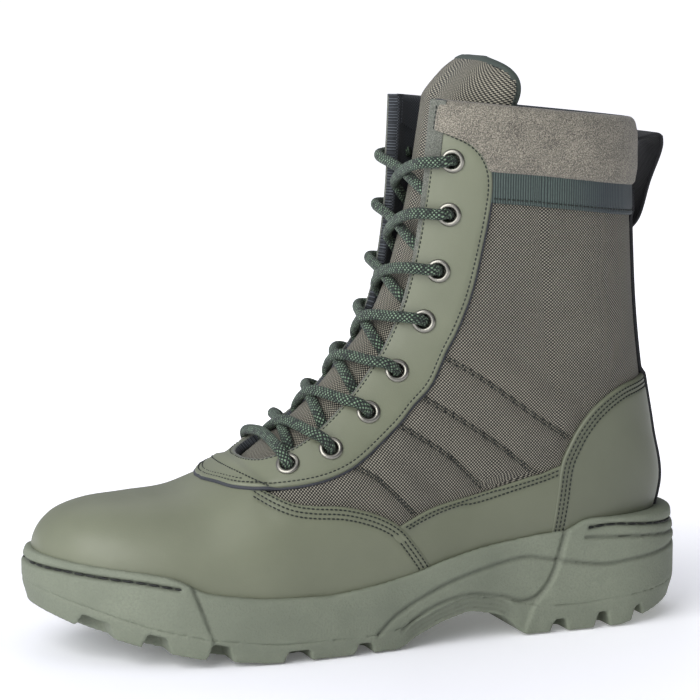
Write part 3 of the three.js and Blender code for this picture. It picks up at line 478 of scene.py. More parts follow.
def braid(name, pale, middle, deep):
    """Round polyester lace: a braid of crossing strands with pale flecks."""
    made, tree, shader, where = material(name, Roughness=0.66, IOR=1.5, Sheen_Weight=0.05)
    flat = node(tree, "ShaderNodeUVMap", CLOTH_MAP)
    x, y, _ = node(tree, "ShaderNodeSeparateXYZ", Vector=flat).outputs
    # x goes round in turns and y along in millimetres
    climb = node(tree, "ShaderNodeMath", TIMES, i0=y, i1=ROUND / BRAID_LAY)
    spin = node(tree, "ShaderNodeMath", TIMES, i0=x, i1=ROUND * BRAID_STRANDS)
    left_turn = node(tree, "ShaderNodeMath", PLUS, i0=spin, i1=climb)
    right_turn = node(tree, "ShaderNodeMath", MINUS, i0=spin, i1=climb)
    left = node(tree, "ShaderNodeMath", SINE, i0=left_turn)
    right = node(tree, "ShaderNodeMath", SINE, i0=right_turn)
    crossed = node(tree, "ShaderNodeMath", TIMES, i0=left, i1=right)
    height = node(tree, "ShaderNodeMath", UNSIGNED, i0=crossed)
    specks = node(tree, "ShaderNodeTexNoise", Vector=where, Scale=500.0, Detail=2.0, Roughness=0.55)
    steps = {"From_Min": 0.36, "From_Max": 0.56, "To_Min": 0.45, "To_Max": 1.0}
    fleck = node(tree, "ShaderNodeMapRange", Value=specks, **steps)
    share = node(tree, "ShaderNodeMath", TIMES, i0=height, i1=fleck)
    stops = [(0.05, deep), (0.42, middle), (0.9, pale)]
    tone = node(tree, "ShaderNodeValToRGB", {"stops": stops}, Fac=share)
    finish_with(tree, shader, tone, height, 0.0005, 0.9)
    return made


def plain(name, code, rough, depth=0.0001, scale=900.0, **fixed):
    """A finish with one colour that varies a little, and a fine relief."""
    made, tree, shader, where = material(name, Roughness=rough, **fixed)
    specks = node(tree, "ShaderNodeTexNoise", Vector=where, Scale=scale, Detail=3.0, Roughness=0.55)
    dark = [c * 0.72 for c in colour(code)[:3]] + [1.0]
    tone = node(tree, "ShaderNodeMix", BLEND, i0=specks, i6=dark, i7=colour(code)).outputs[2]
    finish_with(tree, shader, tone, specks, depth, 0.5)
    return made


# Split leather with a thin polymer coat, which turns light soft and greenish. The side and heel copies are
# darker as painted shade, where the light falls off towards the heel
LEATHER_FINISH = leather("coated_leather_sage", "6f735e", "666a56")
SIDE_LEATHER_PAINTED_SHADE_FINISH = leather("coated_leather_sage_painted_shade", "6a6e5a", "626652")
HEEL_LEATHER_PAINTED_SHADE_FINISH = leather("coated_leather_sage_painted_deep_shade", "626653", "5b5f4d")
# Rubber from a blasted mould, which scatters light and has no gloss
RUBBER_FINISH = rubber("moulded_rubber_sage", "7e8472", "6c7262")
# Microfibre with a brushed nap, which looks dusty and mottled
SUEDE_FINISH = suede("microfibre_suede_khaki", "9c9687", "6f6b61", "44413a")
BINDING_FINISH = suede("suede_binding_green", "7a7c73", "61635b", "4a4d46")
# Nylon yarn in a plain weave, which shows as pale dots between dark gaps
QUARTER_FINISH = woven("nylon_weave_two_tone", ("a39e8d", "8a8679"), "060706", 1.45, relief=0.0005)
LINING_FINISH = woven("nylon_weave_charcoal", ("555a5f", "44484e"), "191c20", 1.3)
TONGUE_FINISH = woven("nylon_weave_khaki", ("aaa492", "8f8c7c"), "141511", 1.3, relief=0.0004)
TONGUE_BINDING_FINISH = plain("tongue_binding_green", "3f4842", 0.8, 0.0002, 700.0)
# Polyester tape and cord, which have a dull sheen
# The webbing's back colour is painted shade round the heel
WEBBING_FINISH = ribbed("ribbed_webbing_green", "485852", "182120", back="1f2830")
STRAP_FINISH = ribbed("ribbed_webbing_dark", "080a10", "020306", rows=1.3)
LACE_FINISH = braid("braided_polyester_green", "7f987b", "25352b", "070c09")
THREAD_FINISH = plain("bonded_thread_dark_green", "1b211c", 0.7)
CORD_FINISH = plain("waxed_cord_black", "1a1d1b", 0.6)
# The raw edge of the leather's backing, dark also as painted shade under the eyestay's rim; foam with a cloth
# face; and nickel that has dulled
PIPING_AND_SHADE_FINISH = plain("cut_edge_and_painted_shade", "383b40", 0.75)
FOOTBED_FINISH = plain("foam_footbed_grey", "35383a", 0.9, 0.0003, 400.0)
EYELET_FINISH = plain("antique_nickel", "8f8d84", 0.3, 0.00002, 300.0, Metallic=1.0)
STITCH_LINES = []  # every line that is sewn, as points


# Meshes
def to_frame(points):
    """Millimetres from the back of the sole as metres in the frame."""
    return (np.asarray(points, float) - [HEEL_SEAT, 0, 0]) / 1000


def piece(name, points, faces, finish, stands_for=(), slot=None, flat=None, second=None, second_faces=None):
    """A mesh of quads or triangles that rides on the boot, with its flat places as a UV map."""
    mesh = bpy.data.meshes.new(name)
    points = to_frame(points)
    faces = np.asarray(faces, np.int32)
    mesh.vertices.add(len(points))
    mesh.vertices.foreach_set("co", points.ravel())
    size = faces.shape[1]
    mesh.loops.add(faces.size)
    mesh.loops.foreach_set("vertex_index", faces.ravel())
    mesh.polygons.add(len(faces))
    mesh.polygons.foreach_set("loop_start", np.arange(0, faces.size, size, dtype=np.int32))
    mesh.polygons.foreach_set("use_smooth", np.ones(len(faces), bool))
    mesh.update(calc_edges=True)
    if flat is not None:
        layer = mesh.uv_layers.new(name="cloth")
        layer.data.foreach_set("uv", np.asarray(flat, float)[faces.ravel()].ravel())
    mesh.materials.append(finish)
    if second is not None:
        mesh.materials.append(second)
        mesh.polygons.foreach_set("material_index", second_faces.astype(np.int32))
    mesh.validate()
    made = bpy.data.objects.new(name, mesh)
    bpy.context.scene.collection.objects.link(made)
    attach(made, "root")
    if stands_for:
        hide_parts(*stands_for)
    return made


class Patch:
    """Triangles over part of the last, kept as places and turns, that can be cut along any soft field."""

    def __init__(self, places, turns, field):
        grid = np.stack(np.meshgrid(places, turns, indexing="ij"), -1)
        self.at = grid.reshape(-1, 2)
        rows, columns = len(places), len(turns)
        corner = (np.arange(rows - 1)[:, None] * columns + np.arange(columns - 1)[None]).ravel()
        a, b, c, d = corner, corner + 1, corner + columns + 1, corner + columns
        self.faces = np.vstack([np.stack([a, b, c], -1), np.stack([a, c, d], -1)])
        self.locked = (self.at[:, 1] <= turns[0] + 1e-9) | (self.at[:, 1] >= turns[-1] - 1e-9)
        self.value = field(self.points(), self.at)

    def points(self, chosen=slice(None)):
        return last(self.at[chosen, 0], self.at[chosen, 1])

    def drop(self, level):
        """Leaves out what lies below a level and the points that no face uses."""
        self.faces = self.faces[self.value[self.faces].mean(1) > level]
        used = np.unique(self.faces)
        fresh = np.full(len(self.at), -1)
        fresh[used] = np.arange(len(used))
        self.faces = fresh[self.faces]
        self.at, self.value, self.locked = self.at[used], self.value[used], self.locked[used]

    def split(self, level):
        """Adds a line of edges where the field has this level."""
        f = self.value - level
        f[np.abs(f) < 1e-7] = 0
        edges = np.vstack([self.faces[:, [0, 1]], self.faces[:, [1, 2]], self.faces[:, [2, 0]]])
        i, j = edges[f[edges[:, 0]] * f[edges[:, 1]] < 0].T
        share = f[i] / (f[i] - f[j])
        close = (share < 0.28) & ~self.locked[i]
        if close.any():
            which, t = i[close], share[close][:, None]
            self.at[which] = self.at[which] * (1 - t) + self.at[j[close]] * t
            which = np.unique(which)
            self.locked[which] = True
            self.value[which] = level
            f[which] = 0
        sign = np.sign(f)[self.faces]
        cut = (sign.min(1) < 0) & (sign.max(1) > 0)
        kept, todo, sign = self.faces[~cut], self.faces[cut], sign[cut]
        keys = {}
        points, values = [], []

        def between(p, q):
            key = (min(p, q), max(p, q))
            if key not in keys:
                keys[key] = len(self.at) + len(points)
                p, q = key
                t = f[p] / (f[p] - f[q])
                points.append(self.at[p] * (1 - t) + self.at[q] * t)
                values.append(level)
            return keys[key]

        made = []
        for face, s in zip(todo.tolist(), sign.tolist()):
            if 0 in s:
                k = s.index(0)
                a, b, c = face[k], face[(k + 1) % 3], face[(k + 2) % 3]
                m = between(b, c)
                made += [[a, b, m], [a, m, c]]
            else:
                k = next(n for n in range(3) if s[n] * s[(n + 1) % 3] < 0 and s[n] * s[(n + 2) % 3] < 0)
                a, b, c = face[k], face[(k + 1) % 3], face[(k + 2) % 3]
                m, n = between(a, b), between(a, c)
                made += [[a, m, n], [m, b, c], [m, c, n]]
        if points:
            self.at = np.vstack([self.at, points])
            self.value = np.r_[self.value, values]
            self.locked = np.r_[self.locked, np.ones(len(points), bool)]
        self.faces = np.vstack([kept, np.array(made, int).reshape(-1, 3)])

    def cut(self, levels):
        """Trims to the first level and adds a line of edges at each of the others."""
        self.split(levels[0])
        self.drop(levels[0])
        for level in levels[1:]:
            self.split(level)
        return self

    def use(self, field):
        """Takes another field for the next cuts."""
        self.value = field(self.points(), self.at)
        return self

    def close_nose(self):
        """Spans the first section, at the tip of the toe, from side to side."""
        line = np.flatnonzero(self.at[:, 0] <= 1e-9)
        line = line[np.argsort(self.at[line, 1])]
        count = len(line)
        spans = []
        for i in range(count // 2):
            a, b = line[i], line[i + 1]
            c, d = line[count - 2 - i], line[count - 1 - i]
            spans += [f for f in ([a, b, c], [a, c, d]) if len(set(f)) == 3]
        self.faces = np.vstack([self.faces, spans])
        return self

    def weld(self):
        """Joins the two edges where a full round meets itself."""
        key = np.round(self.points(), 3)
        _, first, back = np.unique(key, axis=0, return_index=True, return_inverse=True)
        back = back.ravel()
        self.at, self.value, self.locked = self.at[first], self.value[first], self.locked[first]
        faces = back[self.faces]
        good = (faces[:, 0] != faces[:, 1]) & (faces[:, 1] != faces[:, 2]) & (faces[:, 0] != faces[:, 2])
        self.faces = faces[good]
        return self

    def solid(self, name, top, bottom, finish, **more):
        """A closed piece between two heights over the last."""
        self.weld()
        at, faces = self.at, self.faces
        points, ways = self.points(), normal(at[:, 0], at[:, 1])
        high = top(points, at) if callable(top) else np.full(len(at), float(top))
        low = bottom(points, at) if callable(bottom) else np.full(len(at), float(bottom))
        high = np.maximum(high, low + 0.05)
        corner = points[faces]
        facing = np.cross(corner[:, 1] - corner[:, 0], corner[:, 2] - corner[:, 0])
        wrong = (facing * ways[faces[:, 0]]).sum(1) < 0
        faces = np.where(wrong[:, None], faces[:, ::-1], faces)
        edges = np.vstack([faces[:, [0, 1]], faces[:, [1, 2]], faces[:, [2, 0]]])
        seen = {tuple(e) for e in edges.tolist()}
        rim = np.array([e for e in edges.tolist() if (e[1], e[0]) not in seen], int).reshape(-1, 2)
        count = len(at)
        a, b = rim.T
        skirt = np.vstack([np.stack([a, a + count, b + count], -1), np.stack([a, b + count, b], -1)])
        every = np.vstack([faces, faces[:, ::-1] + count, skirt])
        both = np.vstack([points + ways * high[:, None], points + ways * low[:, None]])
        flat = cloth_place(points, at[:, 1])
        if "second" in more:
            more["second_faces"] = np.r_[np.zeros(len(faces)), np.ones(len(faces) + len(skirt))]
        return piece(name, both, every, finish, flat=np.vstack([flat, flat]), **more)


def edge_roll(depth, wall, radius):
    """Height that a leather edge has at a distance from its cut: rounded over, then level."""
    t = np.clip(depth / radius, 0, 1)
    return wall * (0.35 + 0.65 * np.sqrt(np.maximum(0, 1 - (1 - t) ** 2)))


def groove(depth, at, wide, deep):
    return -deep * np.exp(-(((depth - at) / wide) ** 2))


# Outlines of the pieces seen from the side, as in the solids
def scaled(rows):
    return np.array(rows) * [LENGTH, COLLAR_HEIGHT]


VAMP = scaled([
    [1.08, -0.05], [1.08, 0.5], [0.7, 0.5], [0.7, 0.33], [0.688, 0.308], [0.674, 0.296], [0.648, 0.281],
    [0.618, 0.275], [0.576, 0.271], [0.536, 0.258], [0.507, 0.242], [0.484, 0.221], [0.464, 0.19],
    [0.441, 0.15], [0.418, 0.105], [0.405, -0.05],
])
HEEL_PIECE = scaled([
    [-0.15, -0.05], [0.25, -0.05], [0.248, 0.12], [0.243, 0.196], [0.237, 0.258], [0.23, 0.317],
    [0.22, 0.346], [0.2, 0.388], [0.171, 0.425], [0.128, 0.454], [0.082, 0.464], [-0.15, 0.468],
])
SIDE_PIECE = scaled([
    [0.18, -0.05], [0.52, -0.05], [0.52, 0.21], [0.48, 0.233], [0.431, 0.258], [0.362, 0.275],
    [0.276, 0.3], [0.2, 0.327], [0.18, 0.334],
])
CUFF_LINE = scaled([
    [-0.15, 0.82],
    [-0.05, 0.822],
    [0.095, 0.829],
    [0.194, 0.846],
    [0.27, 0.858],
    [0.345, 0.867],
    [0.6, 0.885],
])
THROAT = np.array([
    [7.22, 0.012], [7.32, 0.036], [7.55, 0.06], [8.1, 0.082], [8.9, 0.088], [10.4, 0.087], [11.5, 0.08],
    [12.3, 0.076], [14, 0.076], [16, 0.077], [18, 0.083], [19, 0.088], [20, 0.092],
])
EYESTAY = np.array([
    [6.38, 0.012], [6.48, 0.037], [6.75, 0.08], [7.28, 0.114], [8.08, 0.145], [9.1, 0.16], [10.45, 0.156],
    [11.4, 0.149], [12.7, 0.147], [14.35, 0.17], [15.6, 0.184], [16.55, 0.194], [17, 0.197],
    [17.4, 0.194], [17.73, 0.182], [17.95, 0.162], [18.05, 0.135],
])
EYELETS = np.array([
    [7.9, 0.103], [8.95, 0.124], [10.25, 0.122], [11.55, 0.111], [13.12, 0.114], [14.53, 0.124],
    [15.95, 0.133], [17.3, 0.135],
])


def side_field(outline, first, end):
    """Depth inside a side outline, in millimetres, for both sides of the boot.

    The bends from row first up to row end are made smooth. The others lie outside the boot.
    """
    path = np.vstack([outline[:first], smooth_path(outline[first:end], 1.5), outline[end:]])

    def field(points, at):
        flat = points[:, [0, 2]]
        far = distance(flat, path, True)
        return np.where(inside(flat, path), far, -far)

    return field


def strip_field(rows, open_above=False):
    """Depth inside a strip over the ridge, from a table of places and half turns, measured on the last."""
    line = smooth_path(rows, 0.04)
    border = np.vstack([[[line[0, 0], 0.0]], line, [[line[-1, 0], 0.0]]])
    if open_above:
        border = border[:-1]
    space = last(border[:, 0], border[:, 1])
    space = space[np.r_[True, np.linalg.norm(np.diff(space, axis=0), axis=1) > 0.4]]

    def field(points, at):
        mirrored = points.copy()
        middle = catmull(SECTIONS, at[:, 0])[:, 5]
        mirrored[:, 1] = middle + np.abs(points[:, 1] - middle)
        far = distance(mirrored, space)
        low, high = line[0, 0], line[-1, 0]
        reach = np.interp(at[:, 0], line[:, 0], line[:, 1])
        is_in = (np.abs(at[:, 1]) < reach) & (at[:, 0] > low) & (at[:, 0] < high)
        return np.where(is_in, far, -far)

    return field


def collar_height(x):
    back, front = SECTIONS[COLLAR, 2], SECTIONS[COLLAR, 0]
    return BACK_HEIGHT + COLLAR_DIP * (x - back) / (front - back)


in_throat = strip_field(THROAT, open_above=True)
in_eyestay = strip_field(EYESTAY)
in_vamp = side_field(VAMP, 3, 14)
in_heel = side_field(HEEL_PIECE, 1, 11)
in_side = side_field(SIDE_PIECE, 2, 8)


def below_collar(points, at):
    return collar_height(points[:, 0]) - points[:, 2]


def cuff_line(points):
    return np.interp(points[:, 0], CUFF_LINE[:, 0], CUFF_LINE[:, 1])


def above_rest(points):
    return points[:, 2] - rest(points[:, 0])


def over_sole(points, at):
    """Height over the line where the leather pieces end, hidden inside the sole's edge."""
    return above_rest(points) - 5


def all_of(*fields):
    return lambda points, at: np.min([f(points, at) for f in fields], axis=0)


def outside(field):
    return lambda points, at: -field(points, at)


FULL = np.linspace(-0.5, 0.5, 171)


# Quilting of the cloth side, as stitched lines of length and height
QUILTING = [
    [[124, 127], [109, 118], [95, 108], [81, 98], [63, 86]],
    [[135, 110], [119, 100], [100, 87], [85, 75], [76, 69]],
    [[146, 98], [135, 91], [122, 82], [111, 71], [105, 66]],
    [[167, 81], [157, 75], [144, 62], [139, 57]],
]
QUILT_PATHS = [smooth_path(rows, 2.0) for rows in QUILTING]
QUILT_PUFF = 2.3  # that the cloth rises between its stitched lines
QUILT_SINK = 0.7  # that it is drawn down along them


def quilt_distance(points):
    return np.min([distance(points[:, [0, 2]], path) for path in QUILT_PATHS], axis=0)


def quilt(points, at):
    """The cloth puffs up between its stitched lines and is drawn down along them."""
    near = quilt_distance(points)
    on_side = ramp(np.abs(at[:, 1]), 0.08, 0.16)
    low = ramp(points[:, 2], 146, 124)
    free = -np.max([field(points, at) for field in (in_side, in_vamp, in_heel, in_eyestay)], axis=0)
    rising = np.sqrt(ramp(near, 0, 8)) * ramp(near, 18, 9)
    puff = QUILT_PUFF * low * rising * on_side * ramp(free, 0, 7)
    line = -QUILT_SINK * np.exp(-((near / 1.1) ** 2)) * on_side
    return puff + line


# Soft unevenness of the shaft and vamp: middle point, reach along the length, width and height, and depth
HOLLOWS = [
    ([112, 36, 150], [30, 30, 9], -0.7),
    ([100, 38, 176], [34, 30, 10], -0.5),
    ([70, 38, 128], [22, 30, 14], -0.6),
    ([60, 38, 160], [26, 30, 11], 0.6),
    ([82, 38, 202], [30, 30, 9], -0.4),
    ([92, -38, 150], [26, 30, 9], -0.7),
    ([80, -38, 180], [30, 30, 11], -0.5),
    ([60, -38, 130], [24, 30, 12], 0.5),
    ([208, 30, 66], [5, 22, 9], -0.7),
    ([219, -26, 66], [5, 22, 9], -0.6),
    ([226, 20, 68], [5, 24, 9], 0.4),
]


def unevenness(points):
    total = np.zeros(len(points))
    for middle, reach, depth in HOLLOWS:
        away = (points - middle) / reach
        total += depth * np.exp(-(away**2).sum(1))
    return total


# Upper: woven outside, charcoal lining inside, padded towards the collar
def make_upper():
    places = np.r_[np.arange(0, 7, 0.25), np.arange(7, 19.3, 0.11)]
    body = all_of(below_collar, outside(in_throat))
    patch = Patch(places, FULL, body).cut([0.0, 1.2])
    patch.use(lambda points, at: quilt_distance(points))
    for level in (0.5, 1.5, 3.5):
        patch.split(level)
    patch.use(lambda points, at: np.where(above_rest(points) > 3, above_rest(points) - 3, -1.0)).drop(0)

    def top(points, at):
        wall = body(points, at)
        return quilt(points, at) + unevenness(points) - 1.0 * (1 - ramp(wall, 0, 1.5))

    def under(points, at):
        wall = body(points, at)
        padding = 1.2 * ramp(points[:, 2], 150, 190)
        return -UPPER_WALL - padding + 1.0 * (1 - ramp(wall, 0, 1.5))

    return patch.solid(
        "woven_upper", top, under, QUARTER_FINISH, second=LINING_FINISH,
        stands_for=("upper",), slot="cordura",
    )


# Depths inside a leather edge that need a line of points: its rounding and its sewn grooves
STEPS = [0.0, 0.3, 1.0, 1.5, 2.0, 2.9, 3.4, 3.9, 4.8, 5.3, 5.8]


def leather_top(base, wall, rows, field):
    def top(points, at):
        depth = field(points, at)
        high = base + edge_roll(depth, wall, 1.3) + unevenness(points)
        for row in rows:
            high += groove(depth, row, 0.55, 0.3)
        return high

    return top


TAB_CORNER = 212  # where the front tab of the eyestay ends and the rows of the vamp come out


def make_vamp():
    places = np.arange(0, 11.5, 0.11)
    patch = Patch(places, np.linspace(-0.42, 0.42, 151), in_vamp)
    patch.cut(STEPS)
    patch.use(outside(lambda points, at: in_eyestay(points, at) - 9)).cut([0.0])
    patch.use(over_sole).drop(0)
    patch.close_nose()

    def top(points, at):
        depth = in_vamp(points, at)
        high = 0.2 + edge_roll(depth, LEATHER, 1.3) + unevenness(points)
        behind_tab = ramp(points[:, 0], TAB_CORNER + 1, TAB_CORNER - 1)
        for row in ROWS:
            high += groove(depth, row, 0.55, 0.3) * behind_tab
        return high

    return patch.solid("leather_vamp", top, 0.1, LEATHER_FINISH, stands_for=("vamp",), slot="leather")


def make_heel_piece(name, side):
    places = np.arange(9.5, 16.5, 0.1)
    turns = np.linspace(0.16, 0.5, 70) * side
    patch = Patch(places, np.sort(turns), in_heel)
    patch.cut(STEPS)
    patch.use(over_sole).drop(0)
    top = leather_top(0.2, LEATHER, ROWS, in_heel)
    # A darker copy of the leather, as painted shade towards the heel
    return patch.solid(
        "leather_counter_" + name, top, 0.1, HEEL_LEATHER_PAINTED_SHADE_FINISH,
        stands_for=("heel_counter_" + name,), slot="leather",
    )


def make_side_panel(name, side):
    places = np.arange(7.5, 14.5, 0.1)
    turns = np.linspace(0.14, 0.44, 70) * side
    patch = Patch(places, np.sort(turns), in_side)
    patch.cut(STEPS[:8])
    patch.use(over_sole).drop(0)
    top = leather_top(0.15, SIDE_LEATHER, ROWS[:2], in_side)
    # A darker copy of the leather, as painted shade where the light falls off
    return patch.solid(
        "leather_side_" + name, top, 0.1, SIDE_LEATHER_PAINTED_SHADE_FINISH,
        stands_for=("side_panel_" + name,), slot="leather",
    )


def binding_width(place):
    """Width of the bound edge that shows beside the eyestay: wide at the collar, narrow at the instep."""
    return 1.6 + 3.0 * ramp(place, 12, 19)


def eyestay_area(points, at):
    inner = -in_throat(points, at) - binding_width(at[:, 0]) + 0.8
    return np.minimum(in_eyestay(points, at), inner)


def make_eyestay():
    places = np.arange(6.3, 18.2, 0.08)
    patch = Patch(places, np.linspace(-0.21, 0.21, 121), eyestay_area)
    patch.cut([0.0, 0.3, 0.9, 1.5])
    patch.use(in_eyestay).split(2.7)
    patch.split(2.2)
    holes = off_last(EYELETS[:, 0], EYELETS[:, 1], 0.0)
    holes = np.vstack([holes, off_last(EYELETS[:, 0], -EYELETS[:, 1], 0.0)])

    def from_holes(points, at):
        return np.linalg.norm(points[:, None] - holes, axis=2).min(1) - EYELET_HOLE - 0.5

    patch.use(from_holes).cut([0.0])

    def top(points, at):
        depth = eyestay_area(points, at)
        over_vamp = 1.7 * ramp(in_vamp(points, at), -4, 0)
        outer = in_eyestay(points, at)
        high = 0.3 + over_vamp + edge_roll(depth, LEATHER, 1.2) + unevenness(points)
        high += groove(outer, 2.4, 0.5, 0.28)
        return high - 0.25 * np.exp(-(((at[:, 0] - bridge_place(at[:, 1])) / 0.035) ** 2))

    return patch.solid("leather_eyestay", top, 0.1, LEATHER_FINISH, stands_for=("eyestay",), slot="leather")


def bridge_place(turn):
    """Place of the stitched seam across the front of the eyestay, at a turn."""
    return 6.8 + 0.43 * np.clip(np.abs(turn) / 0.105, 0, 1.2) ** 2


def make_binding():
    """Suede edge of the throat, folded over the cloth and under the eyestay."""
    places = np.r_[np.arange(7.1, 18.9, 0.1), 18.9, 19.0, 19.1]

    def area(points, at):
        away = -in_throat(points, at)
        return np.min([away, 7.5 - away, below_collar(points, at) + 0.4], axis=0)

    patch = Patch(places, np.linspace(-0.2, 0.2, 141), area).cut([0.0, 0.3, 0.8, 1.4])

    def top(points, at):
        over = 0.9 * ramp(points[:, 2] - cuff_line(points), -1, 1)
        return 0.1 + over + edge_roll(-in_throat(points, at), 1.7, 1.5)

    def under(points, at):
        return -UPPER_WALL - 0.2 - 0.5 * ramp(-in_throat(points, at), 0, 1.2)

    return patch.solid("suede_binding", top, under, BINDING_FINISH, slot="microsuede", second=LINING_FINISH)


def make_piping():
    """Dark cut edge that shows under the eyestay, outside its rim; its darkness is also painted shade under
    the rim.
    """
    places = np.arange(6.2, 18.3, 0.08)

    def area(points, at):
        outer = in_eyestay(points, at)
        ring = np.minimum(outer + 0.9, 2.4 - outer)
        return np.minimum(ring, -in_throat(points, at) - 2)

    patch = Patch(places, np.linspace(-0.215, 0.215, 151), area).cut([0.0, 0.5])

    def top(points, at):
        over_vamp = 2.2 * ramp(in_vamp(points, at), -4, -0.5)
        return 0.35 + over_vamp + edge_roll(area(points, at), 0.75, 0.8) + unevenness(points)

    return patch.solid("eyestay_piping", top, 0.05, PIPING_AND_SHADE_FINISH, slot="leather")


def make_cuff():
    """Padded suede band that rolls over the top edge."""
    places = np.arange(15.5, 19.3, 0.08)

    def area(points, at):
        edge = below_collar(points, at) + 0.6
        low = points[:, 2] - cuff_line(points)
        front = -in_throat(points, at) - 0.8 * binding_width(at[:, 0])
        return np.min([edge, low, front, 1.5 - in_eyestay(points, at)], axis=0)

    patch = Patch(places, FULL, area).cut([0.0, 0.3, 0.8, 1.6, 2.8, 4.5])

    def top(points, at):
        edge = below_collar(points, at) + 0.6
        low = points[:, 2] - cuff_line(points)
        crown = 1.2 * ramp(low, 0, 9) * ramp(edge, 0, 9)
        rim = -3.3 * (1 - np.sqrt(np.maximum(0, 1 - (1 - np.clip(edge / 3.6, 0, 1)) ** 2)))
        low = np.minimum(low, -in_throat(points, at) - 0.8 * binding_width(at[:, 0]))
        roll = CUFF_WALL * (np.sqrt(np.maximum(0, 1 - (1 - np.clip(low / 2.0, 0, 1)) ** 2)) - 1) * 0.75
        return 0.3 + CUFF_WALL + crown + rim + roll + 0.6 * unevenness(points)

    def under(points, at):
        edge = below_collar(points, at) + 0.6
        rim = 3.0 * (1 - np.sqrt(np.maximum(0, 1 - (1 - np.clip(edge / 3.6, 0, 1)) ** 2)))
        low = points[:, 2] - cuff_line(points)
        return -UPPER_WALL - 1.6 + rim + 1.2 * (1 - ramp(low, 0, 6))

    made = patch.solid(
        "padded_cuff", top, under, SUEDE_FINISH, second=LINING_FINISH,
        stands_for=("collar_cuff",), slot="microsuede",
    )
    return made


def make_webbing():
    places = np.arange(14.5, 18.6, 0.08)

    def area(points, at):
        high = cuff_line(points) + 1.0 - points[:, 2]
        return np.min([above_webbing_foot(points, at), high, -in_eyestay(points, at) + 2], axis=0)

    patch = Patch(places, FULL, area).cut([0.0, 0.3, 0.9, 1.9, 2.3])

    def top(points, at):
        depth = above_webbing_foot(points, at)
        high = 0.3 + edge_roll(depth, WEBBING, 0.7) + groove(depth, WEBBING_ROW, 0.45, 0.3)
        return high + 0.5 * unevenness(points)

    return patch.solid(
        "ribbed_webbing", top, 0.05, WEBBING_FINISH, stands_for=("collar_webbing",), slot="webbing",
    )


def make_back_strap():
    places = np.arange(12.6, 18.2, 0.1)
    foot, head = rise_of(RAND, np.array([HEEL_SEAT]))[0] - 6, CUFF_LINE[1, 1]

    def area(points, at):
        side = STRAP_WIDTH / 2 - np.abs(points[:, 1] - catmull(SECTIONS, at[:, 0])[:, 5])
        return np.min([side, head - points[:, 2], points[:, 2] - foot, 60 - points[:, 0]], axis=0)

    patch = Patch(places, np.linspace(0.38, 0.62, 61), area).cut([0.0, 0.3, 0.9, 1.9, 2.3])

    def top(points, at):
        over = 1.6 * ramp(in_heel(points, at), -3, 1)
        over = np.maximum(over, 0.9 * ramp(above_webbing_foot(points, at), -2, 1))
        depth = STRAP_WIDTH / 2 - np.abs(points[:, 1])
        return 0.3 + over + edge_roll(area(points, at), 1.6, 0.8) + groove(depth, 2.1, 0.45, 0.3)

    return patch.solid(
        "back_strap_band", top, 0.05, STRAP_FINISH, stands_for=("back_strap",), slot="webbing",
    )


LOOP_PATH = scaled([
    [0.09, 0.733],
    [0.0655, 0.765],
    [0.0484, 0.833],
    [0.032, 0.884],
    [0.0285, 0.909],
    [0.037, 0.921],
    [0.09, 0.905],
])


def sweep(name, path, sections, finish, flat_width=None, **more):
    """A band or cord along a path, closed at its ends, with a ring of offsets for each point of the path.

    Its flat places are turns round it and millimetres along it, or along and across a band of a flat_width.
    """
    rings, count = len(path), sections.shape[1]
    points = (path[:, None] + sections).reshape(-1, 3)
    index = np.arange(rings * count).reshape(rings, count)
    a, b = index[:-1], np.roll(index, -1, 1)[:-1]
    quads = np.stack([a, b, np.roll(index, -1, 1)[1:], index[1:]], -1).reshape(-1, 4)
    faces = np.vstack([quads[:, [0, 1, 2]], quads[:, [0, 2, 3]]])
    run = np.r_[0, np.cumsum(np.linalg.norm(np.diff(path, axis=0), axis=1))]
    flat = np.stack(np.broadcast_arrays(np.arange(count)[None] / count, run[:, None]), -1).reshape(-1, 2)
    middle = len(points)
    points = np.vstack([points, path[:1], path[-1:]])
    flat = np.vstack([flat, [[0, run[0]], [0, run[-1]]]])
    first, final = index[0], index[-1]
    start_cap = np.stack([np.full(count, middle), np.roll(first, -1), first], -1)
    end_cap = np.stack([np.full(count, middle + 1), final, np.roll(final, -1)], -1)
    faces = np.vstack([faces, start_cap, end_cap])
    if flat_width:
        flat = np.stack([flat[:, 1], flat[:, 0] * flat_width], -1)
    return piece(name, points, faces, finish, flat=flat, **more)


def make_loop():
    flat = smooth_path(LOOP_PATH, 1.2)
    path = np.stack([flat[:, 0], np.zeros(len(flat)), flat[:, 1]], -1)
    side_way = np.array([0.0, 1.0, 0.0])
    out = np.cross(np.gradient(path, axis=0), side_way)
    out /= np.linalg.norm(out, axis=1, keepdims=True)
    half, wall = LOOP_WIDTH / 2, LOOP_WALL / 2
    ring = []
    for t in np.linspace(-1, 1, 13):
        ring.append((half * t, wall * (1 - 0.5 * abs(t) ** 8)))
    for t in np.linspace(1, -1, 13):
        ring.append((half * t, -wall * (1 - 0.5 * abs(t) ** 8)))
    sections = np.array([[side_way * y + o * h for y, h in ring] for o in out])

    return sweep(
        "pull_loop_band", path, sections, STRAP_FINISH, flat_width=LOOP_WIDTH * 2,
        stands_for=("pull_loop",), slot="webbing",
    )


# Tongue: padded cloth under the throat, bound round its top
TONGUE = np.array([
    [6.7, 0.1, 0.3], [7.5, 0.135, 0.3], [8.5, 0.15, 0.6], [10, 0.16, 1.2], [11.5, 0.165, 2], [13, 0.17, 3],
    [14.5, 0.18, 4.5], [16, 0.2, 7], [17.5, 0.22, 9.5], [19, 0.23, 12.5],
])
TONGUE_BODY = 0.88  # share of the tongue's length below its rounded top
TONGUE_HALF = 34
BOUND = 2.8  # width of the binding round the tongue
TONGUE_LONG = 230


